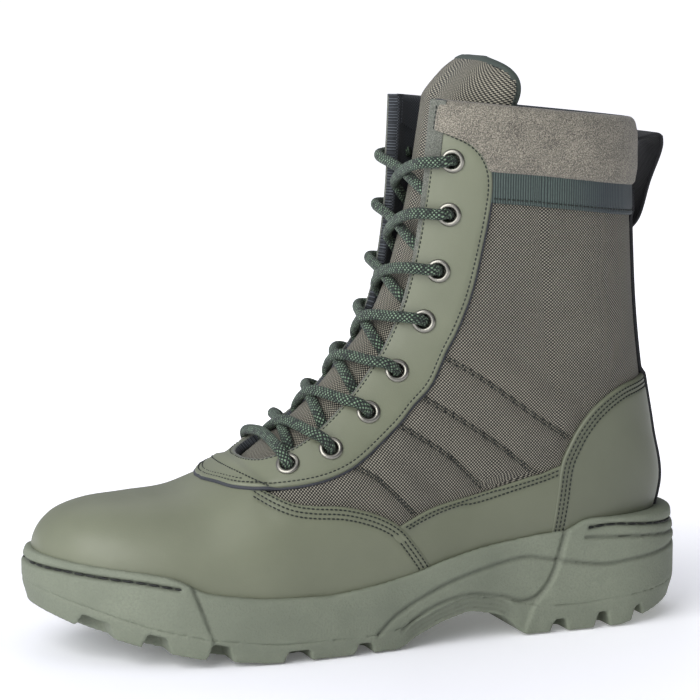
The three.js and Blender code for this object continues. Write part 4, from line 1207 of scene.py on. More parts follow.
def tongue_row(at):
    """Place, half turn, sink, lift, lean and narrowing of the tongue, from 0 at its foot to 1 at its top."""
    row = catmull(TONGUE, np.clip(at / TONGUE_BODY, 0, 1) * (len(TONGUE) - 1))
    lift = np.sin(np.clip((at - TONGUE_BODY) / (1 - TONGUE_BODY), 0, 1) * np.pi / 2)
    narrow = np.maximum(1 - lift**2, 1e-9) ** 0.175
    return row[..., 0], row[..., 1], row[..., 2], lift * TONGUE_RISE, 0.92 * lift**1.2 * TONGUE_RISE, narrow


def tongue_point(at, share, depth):
    place, turn, sink, lift, lean, narrow = tongue_row(at)
    share = share * narrow
    out = -UPPER_WALL - TONGUE_GAP - sink * (1 - share**2) - depth
    point = off_last(place, turn * share, out)
    return point + np.stack([-lean, np.zeros_like(lean), lift], -1)


def make_tongue():
    ats, shares = np.linspace(0, 1, 200), np.linspace(-1, 1, 61)
    grid_at, grid_share = np.meshgrid(ats, shares, indexing="ij")
    border = np.vstack([tongue_point(ats, -1.0, 0.0), tongue_point(ats[::-1], 1.0, 0.0)])
    edge = distance(tongue_point(grid_at, grid_share, 0.0).reshape(-1, 3), border).reshape(grid_at.shape)
    swell = np.sqrt(1 - (1 - np.clip(edge / 3, 0, 1)) ** 2)
    body = 1.0 * ramp(edge, BOUND, 9)
    channel = 0.6 * np.exp(-(((edge - BOUND) / 0.6) ** 2))
    half = TONGUE_WALL / 2
    top = tongue_point(grid_at, grid_share, half - half * swell - body + channel)
    low = tongue_point(grid_at, grid_share, half + half * swell)
    rows, columns = grid_at.shape
    index = np.arange(rows * columns).reshape(rows, columns)
    quads = np.stack([index[:-1, :-1], index[:-1, 1:], index[1:, 1:], index[1:, :-1]], -1).reshape(-1, 4)
    count = rows * columns
    under = quads[:, ::-1] + count
    ring = np.r_[index[0], index[1:, -1], index[-1, -2::-1], index[-2:0:-1, 0]]
    a, b = ring, np.roll(ring, -1)
    skirt = np.stack([b, a, a + count, b + count], -1)
    points = np.vstack([top.reshape(-1, 3), low.reshape(-1, 3)])
    every = np.vstack([quads, under, skirt])
    bound = edge.reshape(-1)[quads].mean(1) < BOUND
    across = grid_share * TONGUE_HALF * tongue_row(grid_at)[5]
    flat = np.stack([across, grid_at * TONGUE_LONG], -1).reshape(-1, 2)
    # Stitches just inside the binding, from one side over the top to the other
    ways = np.r_[np.linspace(0.45, 1, 90), np.linspace(1, 0.45, 90)]
    sides = np.r_[np.full(90, -1.0), np.full(90, 1.0)]
    rim = tongue_point(ways, sides, 0.0)
    heart = tongue_point(np.minimum(ways, TONGUE_BODY) - 0.03, 0 * sides, 0.0)
    pull = heart - rim
    rim = rim + pull / np.linalg.norm(pull, axis=1, keepdims=True) * (BOUND + 0.9)
    surface = top.reshape(-1, 3)
    near = np.array([np.linalg.norm(surface - p, axis=1).argmin() for p in rim])
    front = surface[near] - low.reshape(-1, 3)[near]
    front /= np.linalg.norm(front, axis=1, keepdims=True)
    rim = rim + front * (((surface[near] - rim) * front).sum(1) + 0.1)[:, None]
    keep = np.r_[True, np.linalg.norm(np.diff(rim, axis=0), axis=1) > 0.4]
    STITCH_LINES.append(smooth_path(rim[keep][::3], 1.5))
    made = piece(
        "padded_tongue", points, every, TONGUE_FINISH, stands_for=("tongue",), slot="cordura",
        flat=np.vstack([flat, flat]), second=TONGUE_BINDING_FINISH,
        second_faces=np.r_[bound.astype(int), bound.astype(int), np.ones(len(skirt))],
    )
    return made


# Laces
def lace_sections(path, up, count=16):
    """Rings of a soft cord, pressed a little flat against what it lies on."""
    way = np.gradient(path, axis=0)
    way /= np.linalg.norm(way, axis=1, keepdims=True)
    side = np.cross(way, up)
    side /= np.maximum(np.linalg.norm(side, axis=1, keepdims=True), 1e-9)
    up = np.cross(side, way)
    angle = np.linspace(0, 2 * np.pi, count, endpoint=False)[None, :, None]
    return LACE_WIDE * np.cos(angle) * side[:, None] + LACE_HIGH * np.sin(angle) * up[:, None]


def lay_lace(name, rows, stands_for):
    """A lace along rows of place, turn and height over the last."""
    points = np.array([off_last(p, t, h) for p, t, h in rows])
    fine = smooth_path(points, 0.9)
    heart = np.array([off_last(p, 0.0, -60.0) for p, _, _ in rows])
    share = np.linspace(0, len(rows) - 1, len(fine))
    up = fine - catmull(heart, share)
    sweep(name, fine, lace_sections(fine, up), LACE_FINISH, stands_for=stands_for, slot="lace_cord")


FLANGE_SEAT = 2.6
LACE_ON = FLANGE_SEAT + 0.9 + 0.5 + LACE / 2
LACE_EDGE = FLANGE_SEAT + 0.3 + LACE / 2


def throat_turn(place):
    return np.interp(place, THROAT[:, 0], THROAT[:, 1])


def strand(i, side):
    """A lace from the far side's eyelet below, under the edge, over the throat and into this eyelet."""
    (place, turn), (low_place, low_turn) = EYELETS[i], EYELETS[i - 1]
    sag = 0.25 * np.interp(place, TONGUE[:, 0], TONGUE[:, 2])
    rows = [(place, side * turn, -4.0), (place, side * turn, 0.5), (place, side * turn * 0.97, 3.2)]
    rows.append((place + 0.05 * (low_place - place), side * (turn - 0.014), LACE_ON))
    heights = [LACE_EDGE, 1.2 * side - sag, -1.4 - sag]
    for (down, across), height in zip([(0.2, 1.0), (0.46, 0.2), (0.74, -0.66)], heights):
        at = place + down * (low_place - place)
        rows.append((at, side * across * throat_turn(at), height))
    at = place + 0.88 * (low_place - place)
    rows.append((at, -side * (throat_turn(at) + 0.008), -UPPER_WALL - LACE / 2 - 0.6))
    rows.append((low_place, -side * low_turn * 0.95, -UPPER_WALL - LACE / 2 - 1.2))
    return rows


def make_laces():
    place, turn = EYELETS[0]
    edge = throat_turn(place) / turn
    bar = [(-0.98, -4.0), (-1.0, 0.5), (-0.95, 3.6), (-edge, LACE_EDGE - 0.4), (0, 1.4)]
    bar += [(-share, out) for share, out in reversed(bar[:-1])]
    lay_lace("lace_bar_braid", [(place, share * turn, out) for share, out in bar], ("lace_bar",))
    for i in range(1, len(EYELETS)):
        for name, side in (("outer", 1), ("inner", -1)):
            lay_lace(f"lace_strand_{name}_{i}", strand(i, side), (f"lace_crossing_{i}",))


def make_eyelets():
    """Pressed rings: a rolled flange over a short tube."""
    profile = [(2.7, -5.0), (3.25, -5.0), (3.25, 0.05), (5.05, 0.05), (5.25, 0.25), (5.15, 0.55)]
    profile += [(4.6, 0.9), (3.9, 1.0), (3.3, 0.75), (2.85, 0.2), (2.7, -0.6)]
    profile = np.array(profile)
    angle = np.linspace(0, 2 * np.pi, 40, endpoint=False)
    count = len(profile)
    for name, side in (("outer", 1), ("inner", -1)):
        for i, (place, turn) in enumerate(EYELETS):
            middle = off_last(place, side * turn, FLANGE_SEAT - 0.35)
            up = normal(place, side * turn)
            side_way = np.cross(up, [0.0, 0.0, 1.0])
            side_way /= np.linalg.norm(side_way)
            other = np.cross(up, side_way)
            spokes = [np.cos(a) * side_way + np.sin(a) * other for a in angle]
            rings = [middle + r * spoke + h * up for spoke in spokes for r, h in profile]
            index = np.arange(len(angle) * count).reshape(len(angle), count)
            ahead = np.roll(index, -1, 0)
            quads = np.stack([index, ahead, np.roll(ahead, -1, 1), np.roll(index, -1, 1)], -1)
            piece(
                f"eyelet_ring_{name}_{i + 1}", rings, quads.reshape(-1, 4), EYELET_FINISH,
                stands_for=(f"eyelet_{name}_{i + 1}",), slot="eyelet_metal",
            )


# Sole
VOXEL = 0.82  # of the grid that the soles are drawn on; its step across the foot is CROSS_STEP
CROSS_STEP = 1.6
NOTCHES = np.array([
    # front and back of the notch at its roof, its height over the ground line, how far it reaches in
    [287.0, 277.4, 6.6, 14], [262.4, 255.2, 7.0, 15], [236.0, 229.0, 7.2, 16], [202.6, 193.4, 5.4, 17],
    [169.6, 163.8, 5.2, 16], [72.6, 67.8, 6.2, 13], [50.6, 46.8, 7.4, 13], [31.6, 29.4, 6.2, 12],
])
WALL_LINES = [
    [
        [161, 8.5], [151, 17], [132, 26], [113, 32], [89, 36],
        [75, 34], [50, 30], [35, 31], [14, 33], [-6, 35],
    ],
    [[149, 9.5], [137, 17], [118, 22], [99, 19.5], [90, 16.5], [82, 18], [75, 26], [67, 46.5]],
]
HEEL_FRONT = np.array([[88, 0], [84, 14], [75, 26], [66.5, 48], [66, 60]])
TOE_BACK = np.array([[234, 0], [237.5, 17], [244.2, 35.8], [247, 50]])
SEWN_SLOTS = [
    [[56, 46.9], [41, 47.4], [9, 44.3], [-8, 43.6]],
    [[249.8, 35], [263.7, 37.5], [280, 39.4], [295, 41], [312, 42]],
]
LOW_SLOT = [[58, 42.6], [30, 41.2], [7, 39], [-8, 38.4]]
SLOT_DEPTH = 2.4  # of the sewn grooves at the heel and toe
SOLE_LAP = 0.5  # that the two soles are moulded into each other


def soft_max(a, b, k):
    h = np.clip(0.5 + 0.5 * (a - b) / k, 0, 1)
    return b + (a - b) * h + k * h * (1 - h)


def sole_edge():
    x = LENGTH * (0.5 - 0.5 * np.cos(np.linspace(0, np.pi, 260)))
    half, middle = plan(x)
    return np.vstack([np.stack([x, middle + half], -1), np.stack([x, middle - half], -1)[-2:0:-1]])


def side_sheet(xs, zs):
    """How far the side wall stands out, drawn from the side, and the painted shade of its grooves.

    Grooves sink, and the heel and toe blocks stand proud.
    """
    flat = np.stack(np.meshgrid(xs, zs, indexing="ij"), -1).reshape(-1, 2)
    x, z = flat.T
    ground, seam, top = rise_of(GROUND, x), rise_of(SEAM, x), rise_of(RAND, x)
    out = -2.4 * ramp(z, seam + 1, ground - 1)
    out -= 1.5 * ramp(z, seam + 0.55 * (top - seam), top)
    out -= 0.3 * np.exp(-(((z - seam) / 0.9) ** 2)) * ramp(x, 232, 262)
    heel = np.interp(z, HEEL_FRONT[:, 1], HEEL_FRONT[:, 0])
    out += 1.3 * ramp(x, heel + 0.9, heel - 0.9)
    toe = np.interp(z, TOE_BACK[:, 1], TOE_BACK[:, 0])
    out += 1.1 * ramp(x, toe - 0.9, toe + 0.9)
    dark = np.zeros(len(flat))
    # Line, its depth and half width, how dark its painted shade is and the half width of that shade
    lines = [(rows, 1.25, 0.85, 0.5, 0.7) for rows in WALL_LINES]
    lines += [(rows, SLOT_DEPTH, 0.72, 1.0, 0.52) for rows in SEWN_SLOTS]
    lines += [(LOW_SLOT, 1.5, 0.7, 0.8, 0.45)]
    lines += [(HEEL_FRONT[1:4], 0.8, 0.85, 0.25, 0.7), (TOE_BACK[1:3], 0.9, 0.85, 0.3, 0.7)]
    for rows, deep, wide, shade, painted_shade_wide in lines:
        near = distance(flat, smooth_path(rows, 1.5))
        out -= deep * np.exp(-((near / wide) ** 2))
        dark = np.maximum(dark, shade * np.exp(-((near / painted_shade_wide) ** 2)))
    # Ribs across the arch, each with a little painted shade
    arch = ramp(x, 92, 97) * ramp(x, 150, 143)
    for rise in (2.4, 4.6, 6.8):
        rib = arch * np.exp(-(((z - ground - rise) / 0.7) ** 2))
        out -= 0.9 * rib
        dark = np.maximum(dark, 0.3 * rib)
    return out.reshape(len(xs), len(zs)), dark.reshape(len(xs), len(zs))


def surface_net(values, xs, ys, zs):
    """Quads where a field on a grid passes nought, one point for each cell that it crosses."""
    below = values < 0
    corners = [(i, j, k) for i in (0, 1) for j in (0, 1) for k in (0, 1)]
    nx, ny, nz = values.shape

    def shifted(array, step):
        return array[step[0] : nx - 1 + step[0], step[1] : ny - 1 + step[1], step[2] : nz - 1 + step[2]]

    def ahead_of(step):
        a, b, c = 1 + step
        return below[a : nx - 2 + a, b : ny - 2 + b, c : nz - 2 + c]

    count = sum(shifted(below, c).astype(np.int8) for c in corners)
    cells = np.argwhere((count > 0) & (count < 8))
    index = np.full((nx - 1, ny - 1, nz - 1), -1, np.int64)
    index[tuple(cells.T)] = np.arange(len(cells))
    total, hits = np.zeros((len(cells), 3)), np.zeros(len(cells))
    for a in corners:
        for axis in range(3):
            if a[axis]:
                continue
            b = list(a)
            b[axis] = 1
            va = values[tuple((cells + a).T)]
            vb = values[tuple((cells + b).T)]
            crossing = (va < 0) != (vb < 0)
            share = np.where(crossing, va / np.where(va == vb, 1, va - vb), 0)
            spot = np.array(a, float) + np.eye(3)[axis] * share[:, None]
            total += np.where(crossing[:, None], spot, 0)
            hits += crossing
    spots = cells + total / hits[:, None]
    points = np.stack([
        np.interp(spots[:, 0], np.arange(nx), xs), np.interp(spots[:, 1], np.arange(ny), ys),
        np.interp(spots[:, 2], np.arange(nz), zs),
    ], -1)
    faces = []
    for axis in range(3):
        step = np.eye(3, dtype=int)[axis]
        spot = np.argwhere(shifted(below, (1, 1, 1))[:-1, :-1, :-1] != ahead_of(step)) + 1
        u, v = np.eye(3, dtype=int)[(axis + 1) % 3], np.eye(3, dtype=int)[(axis + 2) % 3]
        quad = np.stack([index[tuple((spot - d).T)] for d in (0 * u, u, u + v, v)], -1)
        flip = ~below[tuple(spot.T)]
        faces.append(np.where(flip[:, None], quad, quad[:, ::-1]))
    faces = np.vstack(faces)
    return points, faces[(faces >= 0).all(1)]


def between_cells(values, x, y, xs, ys):
    """Values of a flat grid at any points."""
    row = np.clip((x - xs[0]) / (xs[1] - xs[0]), 0, len(xs) - 1.001)
    column = np.clip((y - ys[0]) / (ys[1] - ys[0]), 0, len(ys) - 1.001)
    i, j = row.astype(int), column.astype(int)
    a, b = row - i, column - j
    low = values[i, j] * (1 - b) + values[i, j + 1] * b
    high = values[i + 1, j] * (1 - b) + values[i + 1, j + 1] * b
    return low * (1 - a) + high * a


def make_sole():
    xs = np.arange(-4, LENGTH + 4, VOXEL)
    ys = np.arange(-BALL_WIDTH / 2 - 4, BALL_WIDTH / 2 + 4, CROSS_STEP)
    zs = np.arange(-2.5, 56, VOXEL)
    border = sole_edge()
    flat = np.stack(np.meshgrid(xs, ys, indexing="ij"), -1).reshape(-1, 2)
    far = distance(flat, border[::2], True)
    d2 = np.where(inside(flat, border), -far, far).reshape(len(xs), len(ys))
    sheet, dark = side_sheet(xs, zs)
    x, z = xs[:, None], zs[None]
    ground, top, seam = rise_of(GROUND, xs)[:, None], rise_of(RAND, xs)[:, None], rise_of(SEAM, xs)[:, None]
    half, middle = plan(np.clip(xs, 0, LENGTH))
    from_middle = np.abs(ys[None] - middle[:, None])
    wall = d2[:, :, None] - sheet[:, None, :]
    cap = (z - top)[:, None, :]
    base = (ground - z)[:, None, :]
    body = soft_max(soft_max(wall, cap, 1.6), base, 1.0)
    # Notches of the tread's edge, wider at the floor
    for front, back, high, reach in NOTCHES:
        centre, half_wide = (front + back) / 2, (front - back) / 2
        rise = z - ground
        side = np.abs(x - centre) - half_wide - np.clip((high - rise) * 0.32, 0, 3)
        notch = soft_max(side, rise - high, 0.6)
        deep = (half[:, None] - from_middle) - reach
        cut = soft_max(notch[:, None, :], deep[:, :, None], 0.8)
        body = soft_max(body, -cut, 0.5)
    # Channels of the tread: two long zigzags and crossing bars between the middle lugs
    zigzag = 15 + 1.8 * (2 * np.abs((xs[:, None] / 24) % 1 - 0.5) * 2 - 1)
    reach = np.where(((xs > 150) & (xs < 284)) | ((xs > 20) & (xs < 84)), -5.0, 5.0)[:, None]
    channel = np.maximum(np.abs(from_middle - zigzag) - 1.9, reach)
    bars = np.min([np.abs(xs - at) for at in (30, 56, 80, 178, 207, 236, 264)], axis=0)[:, None] - 1.8
    bars = np.maximum(np.maximum(bars, from_middle - zigzag), reach)
    low = np.minimum(channel, bars)
    cut = np.maximum(low[:, :, None], (z - ground - 4.0)[:, None, :])
    body = soft_max(body, -cut, 0.6)
    # Bed of the foot: room for the last inside the side wall, and a floor under the footbed
    u, v = np.meshgrid(np.arange(0, 14.6, 0.25), np.linspace(0, 1, 97), indexing="ij")
    shell = off_last(u, v, np.full(u.shape, 1.0)).reshape(-1, 3)
    index = np.arange(u.size).reshape(u.shape)
    quads = np.stack([index[:-1, :-1], index[:-1, 1:], index[1:, 1:], index[1:, :-1]], -1).reshape(-1, 4)
    tree = BVHTree.FromPolygons([tuple(p) for p in shell], quads.tolist())
    rest_line = rest(np.clip(xs, 0, LENGTH))
    foot = np.full(body.shape, 9.0)
    band = (d2[:, :, None] > -13) & (d2[:, :, None] < 1) & (cap < 2)
    band &= z[None] > rest_line[:, None, None] - 2
    foot[np.broadcast_to(d2[:, :, None] <= -13, foot.shape)] = -9.0
    for i, j, k in np.argwhere(band):
        spot = Vector((xs[i], ys[j], zs[k]))
        near, way, _, far_off = tree.find_nearest(spot)
        foot[i, j, k] = far_off if (spot - near).dot(way) > 0 else -far_off
    if foot[band].size and np.median(foot[band & (d2[:, :, None] < -11)]) > 0:
        foot[band] *= -1
    bed = soft_max(foot, (rest_line[:, None] - z)[:, None, :] - 0.3, 0.6)
    body = soft_max(body, -bed, 0.8)
    under = np.maximum(body, (z - seam - SOLE_LAP)[:, None, :])
    over = np.maximum(body, (seam - z - SOLE_LAP)[:, None, :])
    for name, values, stands in (("rubber_outsole", under, "outsole"), ("rubber_midsole", over, "midsole")):
        points, faces = surface_net(values, xs, ys, zs)
        points[:, 2] = np.maximum(points[:, 2], 0.0)
        # Painted shade of the side wall's grooves, kept on each point as the groove attribute
        on_wall = between_cells(d2, points[:, 0], points[:, 1], xs, ys) > -6
        painted_groove_shade = between_cells(dark, points[:, 0], points[:, 2], xs, zs) * on_wall
        made = piece(name, points, faces, RUBBER_FINISH, stands_for=(stands,), slot="sole_rubber")
        shade = made.data.attributes.new("groove", "FLOAT", "POINT")
        shade.data.foreach_set("value", painted_groove_shade.astype(np.float32))


def wall_path(rows, depth, side):
    """A line on the sole's side wall from its drawing in length and height."""
    line = smooth_path(rows, 1.0)
    line = line[(line[:, 0] > 0.3) & (line[:, 0] < LENGTH - 0.3)]
    x, z = line.T
    half, middle = plan(x)
    ahead, ahead_middle = plan(x + 0.2)
    slope = ((ahead_middle + side * ahead) - (middle + side * half)) / 0.2
    out = np.stack([-slope * side, np.ones_like(x) * side], -1)
    out /= np.linalg.norm(out, axis=1, keepdims=True)
    ground, seam, top = rise_of(GROUND, x), rise_of(SEAM, x), rise_of(RAND, x)
    stands = -1.5 * ramp(z, seam + 0.55 * (top - seam), top)
    stands += 1.3 * ramp(x, 66, 60) + 1.1 * ramp(x, 244, 248)
    away = stands - depth
    return np.stack([x + out[:, 0] * away, middle + side * half + out[:, 1] * away, z], -1)


def slot_lines():
    """Lines of the waxed cord at the bottom of the sewn grooves."""
    lines = []
    for side in (1, -1):
        for rows in SEWN_SLOTS:
            path = wall_path(rows, 1.1, side)
            keep = np.r_[True, np.linalg.norm(np.diff(path, axis=0), axis=1) > 0.3]
            lines.append(smooth_path(path[keep][::2], 1.2))
    return lines


def make_footbed():
    xs = np.linspace(11, 293, 120)
    shares = np.linspace(-1, 1, 41)
    half, middle = plan(xs)
    half = np.maximum(half - 11.5, 2.0)
    x = np.repeat(xs[:, None], len(shares), 1)
    y = middle[:, None] + half[:, None] * shares[None]
    rim = ramp(np.abs(shares), 0.7, 1.0)[None]
    z = rest(x) + UPPER_WALL + 4.4 + 2.0 * rim * ramp(x, 130, 60)
    high = np.stack([x, y, z], -1).reshape(-1, 3)
    low = high - [0, 0, 3.8]
    index = np.arange(x.size).reshape(x.shape)
    quads = np.stack([index[:-1, :-1], index[1:, :-1], index[1:, 1:], index[:-1, 1:]], -1).reshape(-1, 4)
    ring = np.r_[index[0], index[1:, -1], index[-1, -2::-1], index[-2:0:-1, 0]]
    a, b = ring, np.roll(ring, -1)
    skirt = np.stack([a, b, b + x.size, a + x.size], -1)
    every = np.vstack([quads, quads[:, ::-1] + x.size, skirt])
    piece(
        "foam_footbed", np.vstack([high, low]), every, FOOTBED_FINISH, stands_for=("insole",), slot="footbed",
    )


# Stitches
QUILT_ROWS = (-0.8, 0.8)  # two rows, one each side of a quilted line
WEBBING_ROW = 2.1  # of the stitches over the lower edge of the webbing


def trace(places, turns, field, level, out, keep):
    """Follows the line where a field has a level and lays a row of stitches along it."""
    patch = Patch(places, turns, field)
    f = patch.value - level
    edges = np.vstack([patch.faces[:, [0, 1]], patch.faces[:, [1, 2]], patch.faces[:, [2, 0]]])
    edges = np.unique(np.sort(edges, 1), axis=0)
    crossing = edges[f[edges[:, 0]] * f[edges[:, 1]] < 0]
    t = (f[crossing[:, 0]] / (f[crossing[:, 0]] - f[crossing[:, 1]]))[:, None]
    at = patch.at[crossing[:, 0]] * (1 - t) + patch.at[crossing[:, 1]] * t
    points = last(at[:, 0], at[:, 1])
    good = keep(points, at)
    at, points = at[good], points[good]
    left = np.ones(len(at), bool)
    while left.sum() > 3:
        start = np.flatnonzero(left)[0]
        chain = [start]
        left[start] = False
        for grow_front in (True, False):
            tip = chain[-1] if grow_front else chain[0]
            while True:
                far = np.linalg.norm(points - points[tip], axis=1)
                far[~left] = 1e9
                near = far.argmin()
                if far[near] > 4.5:
                    break
                left[near] = False
                chain = chain + [near] if grow_front else [near] + chain
                tip = near
        line = at[chain]
        run = np.r_[0, np.cumsum(np.linalg.norm(np.diff(points[chain], axis=0), axis=1))]
        if run[-1] < 6:
            continue
        even = np.arange(0, run[-1], 1.5)
        line = np.stack([np.interp(even, run, line[:, k]) for k in (0, 1)], -1)
        kernel = np.ones(5) / 5
        for k in (0, 1):
            line[2:-2, k] = np.convolve(line[:, k], kernel, "valid") if len(line) > 4 else line[2:-2, k]
        middle = last(line[:, 0], line[:, 1])
        height = out(middle, line) if callable(out) else np.full(len(line), out)
        STITCH_LINES.append(off_last(line[:, 0], line[:, 1], height))


def stitch_tree():
    """Geometry Nodes: a rounded stitch of given length, thickness and pitch at each step of every line."""
    tree = bpy.data.node_groups.new("stitches_along_lines", "GeometryNodeTree")
    face = tree.interface
    face.new_socket("Lines", in_out="INPUT", socket_type="NodeSocketGeometry")
    for name, size in (("Pitch", STITCH_PITCH), ("Length", STITCH), ("Thread", THREAD)):
        face.new_socket(name, in_out="INPUT", socket_type="NodeSocketFloat").default_value = size / 1000
    face.new_socket("Finish", in_out="INPUT", socket_type="NodeSocketMaterial")
    face.new_socket("Stitches", in_out="OUTPUT", socket_type="NodeSocketGeometry")
    given = tree.nodes.new("NodeGroupInput")
    result = tree.nodes.new("NodeGroupOutput")
    pitch, length, thread = [given.outputs[name] for name in ("Pitch", "Length", "Thread")]
    curve = node(tree, "GeometryNodeMeshToCurve", Mesh=given.outputs["Lines"])
    spots = node(tree, "GeometryNodeCurveToPoints", {"mode": "LENGTH"}, Curve=curve, Length=pitch)
    bead = node(tree, "GeometryNodeMeshUVSphere", Segments=6, Rings=5, Radius=0.5)
    size = node(tree, "ShaderNodeCombineXYZ", X=thread, Y=thread, Z=length)
    along = node(tree, "FunctionNodeAlignEulerToVector", {"axis": "Z"}, Vector=spots.outputs["Tangent"])
    copies = node(
        tree, "GeometryNodeInstanceOnPoints", Points=spots.outputs["Points"], Instance=bead.outputs["Mesh"],
        Rotation=along, Scale=size,
    )
    real = node(tree, "GeometryNodeRealizeInstances", i0=copies)
    painted = node(tree, "GeometryNodeSetMaterial", Geometry=real, Material=given.outputs["Finish"])
    tree.links.new(painted.outputs[0], result.inputs[0])
    return tree


def sew(name, lines, finish, slot, **sizes):
    """Turns lines into a mesh of stitches. sizes gives Pitch, Length and Thread in millimetres."""
    points, edges = [], []
    count = 0
    for line in lines:
        points.append(line)
        edges += [(count + i, count + i + 1) for i in range(len(line) - 1)]
        count += len(line)
    mesh = bpy.data.meshes.new(name + "_lines")
    mesh.from_pydata(to_frame(np.vstack(points)).tolist(), edges, [])
    drawn = bpy.data.objects.new(name + "_lines", mesh)
    bpy.context.scene.collection.objects.link(drawn)
    modifier = drawn.modifiers.new("stitches", "NODES")
    modifier.node_group = bpy.data.node_groups.get("stitches_along_lines") or stitch_tree()
    for item in modifier.node_group.interface.items_tree:
        if item.in_out == "INPUT" and item.name == "Finish":
            modifier[item.identifier] = finish
        if item.in_out == "INPUT" and item.name in sizes:
            modifier[item.identifier] = sizes[item.name] / 1000
    graph = bpy.context.evaluated_depsgraph_get()
    made = bpy.data.meshes.new_from_object(drawn.evaluated_get(graph))
    made.polygons.foreach_set("use_smooth", np.ones(len(made.polygons), bool))
    stitches = bpy.data.objects.new(name, made)
    bpy.context.scene.collection.objects.link(stitches)
    bpy.data.objects.remove(drawn)
    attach(stitches, "root")


# Which points of a row of stitches are kept, and how high the rows lie
def beside_eyestay(points, at):
    return (in_eyestay(points, at) < -1.2) & (points[:, 0] < TAB_CORNER)


def beside_strap(points, at):
    return (above_rest(points) > 8) & (np.abs(points[:, 1]) > STRAP_WIDTH / 2)


def between_leathers(points, at):
    return (in_vamp(points, at) < -0.8) & (in_heel(points, at) < -0.8)


def on_open_cloth(points, at):
    bare = np.all([field(points, at) < -1 for field in (in_eyestay, in_vamp, in_heel, in_side)], axis=0)
    return bare & (np.abs(at[:, 1]) > 0.12) & (points[:, 2] < 126)


def on_webbing(points, at):
    return (in_eyestay(points, at) < -1.2) & (np.abs(at[:, 1]) > 0.14)


def outside_binding(points, at):
    return beside_binding(points, at) > 0.2


def on_tab(points, at):
    return points[:, 0] > TAB_CORNER + 1


def well_in_eyestay(points, at):
    return in_eyestay(points, at) > 2


def at_throat_top(points, at):
    return (below_collar(points, at) > 1.5) & (in_eyestay(points, at) < 0) & (at[:, 0] > 17)


def above_line(path):
    """Height over a quilted line."""
    rising = path[np.argsort(path[:, 0])]

    def field(points, at):
        return points[:, 2] - np.interp(points[:, 0], rising[:, 0], rising[:, 1])

    return field


def above_webbing_foot(points, at):
    return points[:, 2] - cuff_line(points) + WEBBING_WIDTH


def beside_binding(points, at):
    return -in_throat(points, at) - binding_width(at[:, 0])


def cloth_height(points, at):
    return quilt(points, at) + unevenness(points) + 0.85


def eyestay_height(points, at):
    return 2.15 + 1.7 * ramp(in_vamp(points, at), -4, 0)


def lay_stitches():
    for way in (1, -1):
        turns = np.sort(np.linspace(0.02, 0.46, 90) * way)
        for row in ROWS:
            trace(np.arange(4, 11.5, 0.12), turns, in_vamp, row, 2.25, beside_eyestay)
        for row in ROWS:
            trace(np.arange(9.5, 16.5, 0.12), turns, in_heel, row, 2.25, beside_strap)
        for row in ROWS[:2]:
            trace(np.arange(7.5, 14.5, 0.12), turns, in_side, row, 1.65, between_leathers)
        for path in QUILT_PATHS:
            for row in QUILT_ROWS:
                trace(np.arange(7, 15.5, 0.1), turns, above_line(path), row, cloth_height, on_open_cloth)
        trace(np.arange(14, 18.5, 0.1), turns, above_webbing_foot, WEBBING_ROW, 1.45, on_webbing)
        turns = np.sort(np.linspace(0.004, 0.215, 60) * way)
        trace(np.arange(6.3, 18.3, 0.08), turns, in_eyestay, 2.0, eyestay_height, outside_binding)
        trace(np.arange(6.3, 9, 0.08), turns, in_eyestay, 4.0, eyestay_height, on_tab)
        trace(np.arange(7.0, 18.2, 0.08), turns, beside_binding, 0.3, eyestay_height, well_in_eyestay)
        trace(np.arange(17.0, 19.3, 0.08), turns, beside_binding, -0.9, 3.05, at_throat_top)
    across = np.linspace(-0.115, 0.115, 60)
    STITCH_LINES.append(off_last(bridge_place(across), across, 3.85 + 0 * across))


# The photograph's camera: round from the outer side towards the toe, a little above the floor
def make_camera():
    turned, away, height, down, shift = np.radians(20.0), 1200, 297, np.radians(8.07), 8.3
    data = bpy.data.cameras.new("photo_view")
    data.sensor_width = 36
    data.lens = 2706 * 36 / 700
    data.shift_x = -shift / 700
    data.clip_start, data.clip_end = 0.05, 50
    camera = bpy.data.objects.new("photo_view", data)
    middle = LENGTH / 2
    spot = np.array([middle + away * np.sin(turned), away * np.cos(turned), height])
    camera.location = to_frame(spot)
    look = Vector((-np.sin(turned) * np.cos(down), -np.cos(turned) * np.cos(down), -np.sin(down)))
    camera.rotation_mode = "QUATERNION"
    camera.rotation_quaternion = look.to_track_quat("-Z", "Y")
    bpy.context.scene.collection.objects.link(camera)
    bpy.context.scene.camera = camera


def add_light(name, energy, size, spot, tint=(1, 1, 1)):
    data = bpy.data.lights.new(name, "AREA")
    data.energy, data.size, data.color = energy, size, tint
    light = bpy.data.objects.new(name, data)
    light.location = spot
    aim = Vector((0.08, 0, 0.1)) - Vector(spot)
    light.rotation_mode = "QUATERNION"
    light.rotation_quaternion = aim.to_track_quat("-Z", "Y")
    bpy.context.scene.collection.objects.link(light)


# Middle of the floor's painted glow, which is faintest here
UNDER_TOE = (0.19, 0.06, 0)  # the darkest spot of the floor, in metres


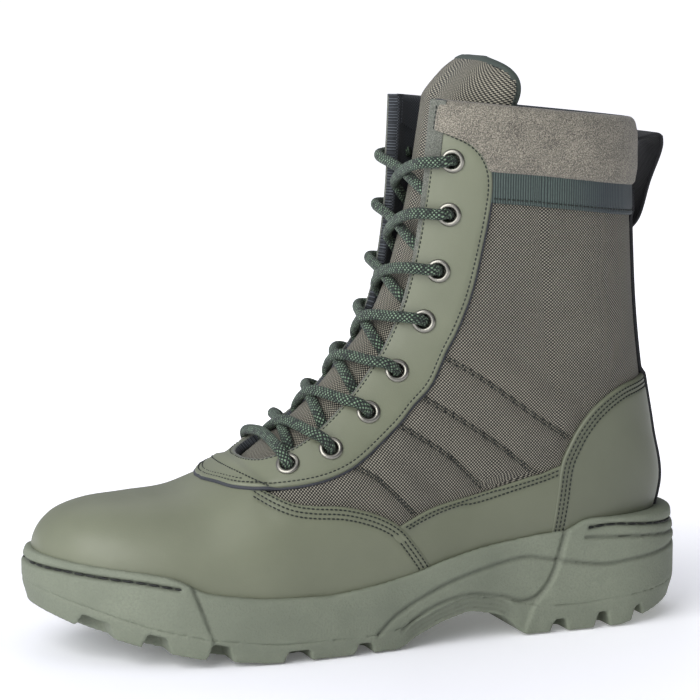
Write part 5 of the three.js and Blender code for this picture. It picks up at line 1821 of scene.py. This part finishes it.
def make_stage():
    mesh = bpy.data.meshes.new("floor")
    reach = 30  # metres
    corners = [(-reach, -reach, 0), (reach, -reach, 0), (reach, reach, 0), (-reach, reach, 0)]
    mesh.from_pydata(corners, [], [(0, 1, 2, 3)])
    floor = bpy.data.objects.new("floor", mesh)
    floor.location.z = -0.0004
    bpy.context.scene.collection.objects.link(floor)
    made, tree, shader, where = material("pale_paper_with_painted_glow", Roughness=0.9)
    shader.inputs["Base Color"].default_value = colour("fbfbff")
    # Painted light: the paper glows, faintly round the toe and more far from the boot, like a sweep that is
    # lit from behind
    away = node(tree, "ShaderNodeVectorMath", DISTANCE, i0=where, i1=UNDER_TOE).outputs["Value"]
    steps = {"From_Min": 0.1, "From_Max": 0.7, "To_Min": 0.085, "To_Max": 0.75}
    glow = node(tree, "ShaderNodeMapRange", Value=away, **steps)
    shader.inputs["Emission Color"].default_value = colour("ffffff")
    tree.links.new(glow.outputs[0], shader.inputs["Emission Strength"])
    mesh.materials.append(made)
    world = bpy.data.worlds.new("studio")
    world.use_nodes = True
    world.node_tree.nodes["Background"].inputs[0].default_value = colour("eceffc")
    # The room is brighter on the toe's side
    sky = world.node_tree
    direction = node(sky, "ShaderNodeTexCoord").outputs["Generated"]
    toe_ward = node(sky, "ShaderNodeSeparateXYZ", Vector=direction)
    steps = {"From_Min": -1.0, "From_Max": 1.0, "To_Min": 0.0, "To_Max": 0.84}
    glow = node(sky, "ShaderNodeMapRange", Value=toe_ward, **steps)
    sky.links.new(glow.outputs[0], sky.nodes["Background"].inputs[1])
    bpy.context.scene.world = world
    bpy.context.scene.view_settings.view_transform = "Standard"
    add_light("key", 25.5, 1.3, (1.25, 0.8, 0.9))
    add_light("top", 3, 1.2, (0.1, 0.3, 1.6))
    add_light("back", 3, 1.0, (-0.1, -1.3, 1.3))


make_camera()
make_stage()
make_upper()
make_vamp()
for side_name, side_sign in (("outer", 1), ("inner", -1)):
    make_heel_piece(side_name, side_sign)
    make_side_panel(side_name, side_sign)
make_binding()
make_piping()
make_eyestay()
make_cuff()
make_webbing()
make_back_strap()
make_loop()
make_tongue()
make_laces()
make_eyelets()
make_sole()
make_footbed()
lay_stitches()
sew(
    "thread_stitches", STITCH_LINES, THREAD_FINISH, "leather",
    Pitch=STITCH_PITCH, Length=STITCH, Thread=THREAD,
)
sew("groove_stitches", slot_lines(), CORD_FINISH, "sole_rubber", Pitch=5.4, Length=5.0, Thread=0.9)
